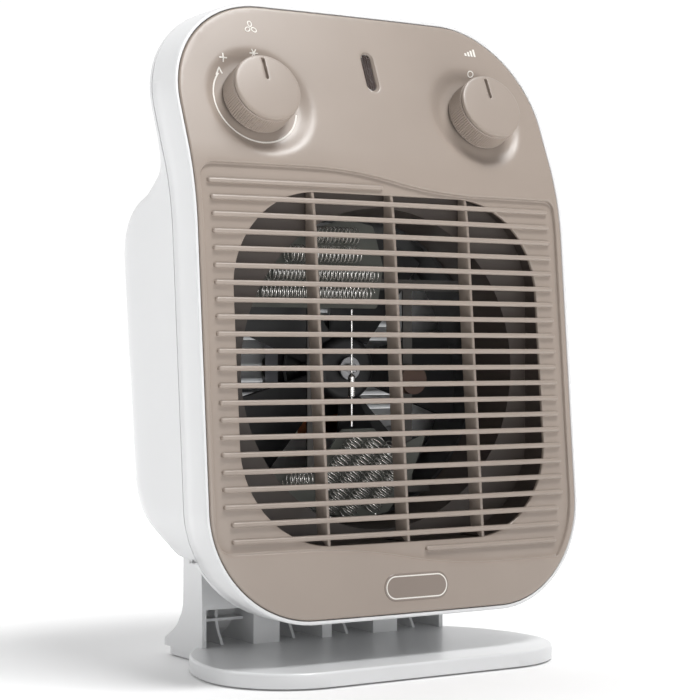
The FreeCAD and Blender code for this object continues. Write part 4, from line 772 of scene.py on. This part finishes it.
def stroke(maker, path, width, lift=0.16):
    """Flat printed line along a path on the face; an open path gets points close enough to follow it."""
    if math.dist(path[0], path[-1]) > 0.02:
        path = joined([line(*a, *b, step=0.6) for a, b in zip(path, path[1:])] + [[path[-1]]])
    rows = []
    for index, (x, z) in enumerate(path):
        ax, az = path[max(0, index - 1)]
        bx, bz = path[min(len(path) - 1, index + 1)]
        length = math.hypot(bx - ax, bz - az)
        nx, nz = (bz - az) / length * width / 2, -(bx - ax) / length * width / 2
        rows.append(((x + nx, z + nz), (x - nx, z - nz)))
    first = len(maker.points)
    for near, far in rows:
        maker.points += [on_face(*near, -lift), on_face(*far, -lift),
                         on_face(*near, 0.1), on_face(*far, 0.1)]
    for index in range(len(rows) - 1):
        a = first + index * 4
        b = a + 4
        maker.faces += [(a, a + 1, b + 1, b), (a, b, b + 2, a + 2), (a + 1, a + 3, b + 3, b + 1)]


def polar_path(side, radius, a0, a1, step=1.0):
    """Path on the face round a knob's foot, in the sloping plane."""
    points = arc(0, 0, radius, a0, a1, step)
    return [(side * KNOB_X + px, KNOB_Z + pz * math.cos(HIGH)) for px, pz in points]


MARK_R = 23.6


def build_marks():
    """Generic printed marks beside the knobs: arc, plus, star, fan, circle and rising bars."""
    maker = Builder()
    stroke(maker, polar_path(-1, MARK_R, 140, 345), 0.8)
    tip = math.radians(140)
    cx, cz = -KNOB_X + MARK_R * math.cos(tip), KNOB_Z + MARK_R * math.sin(tip) * 0.92
    stroke(maker, [(cx - 1.6, cz - 1.2), (cx + 0.9, cz + 3.2)], 0.8)
    stroke(maker, [(cx + 2.2, cz - 0.2), (cx + 0.9, cz + 3.2)], 0.8)
    stroke(maker, [(-86.2, 314.8), (-81.4, 314.8)], 0.7)
    stroke(maker, [(-83.8, 312.4), (-83.8, 317.2)], 0.7)
    for angle in (0, 60, 120):
        dx, dz = 2.4 * math.cos(math.radians(angle)), 2.4 * math.sin(math.radians(angle))
        stroke(maker, [(-65.4 - dx, 318.6 - dz), (-65.4 + dx, 318.6 + dz)], 0.6)
    for turn in (90, 210, 330):
        lobe = []
        for index in range(13):
            angle = math.radians(index * 30)
            radial = 2.1 + 1.5 * math.cos(angle)
            across = 1.1 * math.sin(angle)
            t = math.radians(turn)
            lobe.append((-64.6 + radial * math.cos(t) - across * math.sin(t),
                         332.6 + radial * math.sin(t) + across * math.cos(t)))
        stroke(maker, lobe, 0.5)
    stroke(maker, arc(71.6, 318.4, 1.7, 0, 360, 0.5), 0.6)
    for index in range(4):
        x = 71.2 + index * 2.1
        stroke(maker, [(x, 328.9), (x, 330.6 + index * 0.9)], 1.3)
    return make_piece("printed_marks", maker.points, maker.faces, "print_ink", "housing")


def knob_frame(side):
    """Point of a knob from its own radius, angle and height."""
    foot = Vector((side * KNOB_X, FOOT_Y + SHIFT, KNOB_Z))
    out = Vector((0, -math.cos(HIGH), math.sin(HIGH)))
    up = Vector((0, math.sin(HIGH), math.cos(HIGH)))
    across = Vector((1, 0, 0))

    def place(u, v, height):
        return foot + across * u + up * v + out * height

    return place


def build_knob(side, name, node, body):
    """Knob with a finely ridged skirt, a shadow groove, a domed face and a sunk pointer."""
    place = knob_frame(side)
    base, top = 1.0, 16.0
    ridges = 90
    count = ridges * 4
    face_r, skirt_r = 18.4, 19.0
    maker = Builder()
    profile = [(skirt_r - 2.4, base + 3.0, 0), (skirt_r - 2.2, base, 0), (skirt_r - 0.5, base, 0),
               (skirt_r - 0.15, base + 0.35, 0), (skirt_r - 0.2, base + 0.9, 0.5),
               (skirt_r - 0.25, base + 1.3, 1),
               (face_r + 0.1, top - 4.3, 1), (face_r + 0.08, top - 3.9, 0.5), (face_r, top - 3.5, 0),
               (face_r - 0.15, top - 3.3, 0), (face_r - 0.75, top - 3.2, 0),
               (face_r - 0.75, top - 2.7, 0),
               (face_r - 0.1, top - 2.6, 0), (face_r, top - 2.45, 0), (face_r, top - 1.3, 0),
               (face_r - 0.15, top - 0.85, 0), (face_r - 0.55, top - 0.6, 0),
               (face_r - 1.2, top - 0.5, 0)]
    wave_out = (0.0, 0.15, 0.0, -0.20)
    for radius, height, depth in profile:
        for index in range(count):
            angle = 2 * math.pi * index / count
            r = radius + depth * wave_out[index % 4] * 1.6
            maker.points.append(place(r * math.cos(angle), r * math.sin(angle), height))
    for row in range(len(profile) - 1):
        for index in range(count):
            a = row * count + index
            b = row * count + (index + 1) % count
            maker.faces.append((a, b, b + count, a + count))
    rim = [((face_r - 1.2) * math.cos(2 * math.pi * i / count),
            (face_r - 1.2) * math.sin(2 * math.pi * i / count)) for i in range(count)]
    slot_loop = rounded_rect(-0.95, 4.2, 0.95, face_r - 1.7, 0.94, 0.25)

    def dome(x, z, depth=0.0):
        fall = (x * x + z * z) / (face_r - 1.2) ** 2 * 0.5
        return place(x, z, top - fall - depth)

    maker.sheet([rim, moved(slot_loop, 0.25)], 1.6, dome)
    maker.band(slot_loop, fillet(0.25, 0.0, 0.0, 0.25, 3) + [(0.0, 1.8)], dome)
    maker.sheet([slot_loop], 1.0, lambda x, z: dome(x, z, 1.8))
    return make_piece(name, maker.points, maker.faces, "knob_plastic", body, [node], sharp=32.0)


# ---------------------------------------------------------------- CAD nodes that stay

def soften_edges(node, width, angle=38.0):
    """Round a CAD node's sharp edges with modifiers."""
    piece = frame["nodes"][node]
    weld = piece.modifiers.new("weld", "WELD")
    weld.merge_threshold = 2e-5
    bevel = piece.modifiers.new("soft_edges", "BEVEL")
    bevel.width = width * MM
    bevel.segments = 2
    bevel.limit_method = "ANGLE"
    bevel.angle_limit = math.radians(angle)
    bevel.use_clamp_overlap = True
    bevel.harden_normals = False


build_panel()
build_ring()
build_badge()
build_lens()
build_shell()
build_marks()
build_knob(-1, "thermostat_knob_cap", "thermostat_knob", "thermostat_control")
build_knob(1, "selector_knob_cap", "selector_knob", "selector_control")

for row in frame["record"]["subparts"]:
    node = frame["nodes"][row["node"]]
    node.data.materials.clear()
    node.data.materials.append(MATERIALS[row["material_slot"]])
soften_edges("base_stand", 0.6)

# ---------------------------------------------------------------- floor, light and camera

floor_mesh = bpy.data.meshes.new("floor")
floor_mesh.from_pydata([(-6, -4, 0), (6, -4, 0), (6, 12, 0), (-6, 12, 0)], [], [(0, 1, 2, 3)])
floor = bpy.data.objects.new("floor", floor_mesh)
bpy.context.scene.collection.objects.link(floor)
paper = grainy("paper_floor", (0.90, 0.90, 0.90), 0.75, grain=300, depth=0.01, vary=0.01)
paper_shader = paper.node_tree.nodes["Principled BSDF"]
paper_shader.inputs["Emission Color"].default_value = (1.0, 1.0, 1.0, 1.0)
paper_tree = paper.node_tree
paper_where = paper_tree.nodes.new("ShaderNodeTexCoord")
paper_reach = paper_tree.nodes.new("ShaderNodeVectorMath")
paper_reach.operation = "LENGTH"
paper_tree.links.new(paper_where.outputs["Object"], paper_reach.inputs[0])
# Floor glow that fades towards the heater: painted shadow on the floor round its foot, dimmer close to
# the origin; farther out the glow keeps the floor evenly white.
paper_glow_painted_shadow = paper_tree.nodes.new("ShaderNodeMapRange")
paper_glow_painted_shadow.interpolation_type = "SMOOTHSTEP"
paper_glow_painted_shadow.inputs["From Min"].default_value = 0.15
paper_glow_painted_shadow.inputs["From Max"].default_value = 0.55
paper_glow_painted_shadow.inputs["To Min"].default_value = 0.04
paper_glow_painted_shadow.inputs["To Max"].default_value = 0.85
paper_tree.links.new(paper_reach.outputs["Value"], paper_glow_painted_shadow.inputs["Value"])
paper_tree.links.new(paper_glow_painted_shadow.outputs["Result"], paper_shader.inputs["Emission Strength"])
floor.data.materials.append(paper)

world = bpy.data.worlds.new("studio")
bpy.context.scene.world = world
world.use_nodes = True
tree = world.node_tree
background = tree.nodes["Background"]
where = tree.nodes.new("ShaderNodeTexCoord")
split = tree.nodes.new("ShaderNodeSeparateXYZ")
tree.links.new(where.outputs["Generated"], split.inputs["Vector"])
tone = tree.nodes.new("ShaderNodeValToRGB")
tone.color_ramp.elements[0].position = 0.35
tone.color_ramp.elements[0].color = (0.10, 0.10, 0.103, 1.0)
tone.color_ramp.elements[1].position = 0.75
tone.color_ramp.elements[1].color = (1.05, 1.05, 1.05, 1.0)
shift = tree.nodes.new("ShaderNodeMapRange")
shift.inputs["From Min"].default_value = -1.0
tree.links.new(split.outputs["Y"], shift.inputs["Value"])
tree.links.new(shift.outputs["Result"], tone.inputs["Fac"])
tree.links.new(tone.outputs["Color"], background.inputs["Color"])
background.inputs["Strength"].default_value = 1.0


def area_light(name, place, target, size, power):
    data = bpy.data.lights.new(name, "AREA")
    data.shape = "RECTANGLE"
    data.size, data.size_y = size
    data.energy = power
    lamp = bpy.data.objects.new(name, data)
    lamp.location = place
    lamp.rotation_euler = (Vector(target) - Vector(place)).to_track_quat("-Z", "Y").to_euler()
    bpy.context.scene.collection.objects.link(lamp)
    return lamp


area_light("key", (0.38, -0.85, 2.05), (0, 0, 0.2), (1.1, 0.6), 37.0)
area_light("low_front", (-0.2, -1.7, 0.16), (0, 0, 0.02), (1.4, 0.24), 4.5)

camera_data = bpy.data.cameras.new("camera")
camera_data.lens = 98.2
camera_data.sensor_width = 36.0
camera = bpy.data.objects.new("camera", camera_data)
camera.location = (-0.5441, -0.8675, 0.1639)
camera.rotation_euler = (math.radians(90.11), 0.0, math.radians(-32.0))
bpy.context.scene.collection.objects.link(camera)
bpy.context.scene.camera = camera
bpy.context.scene.view_settings.view_transform = "Standard"
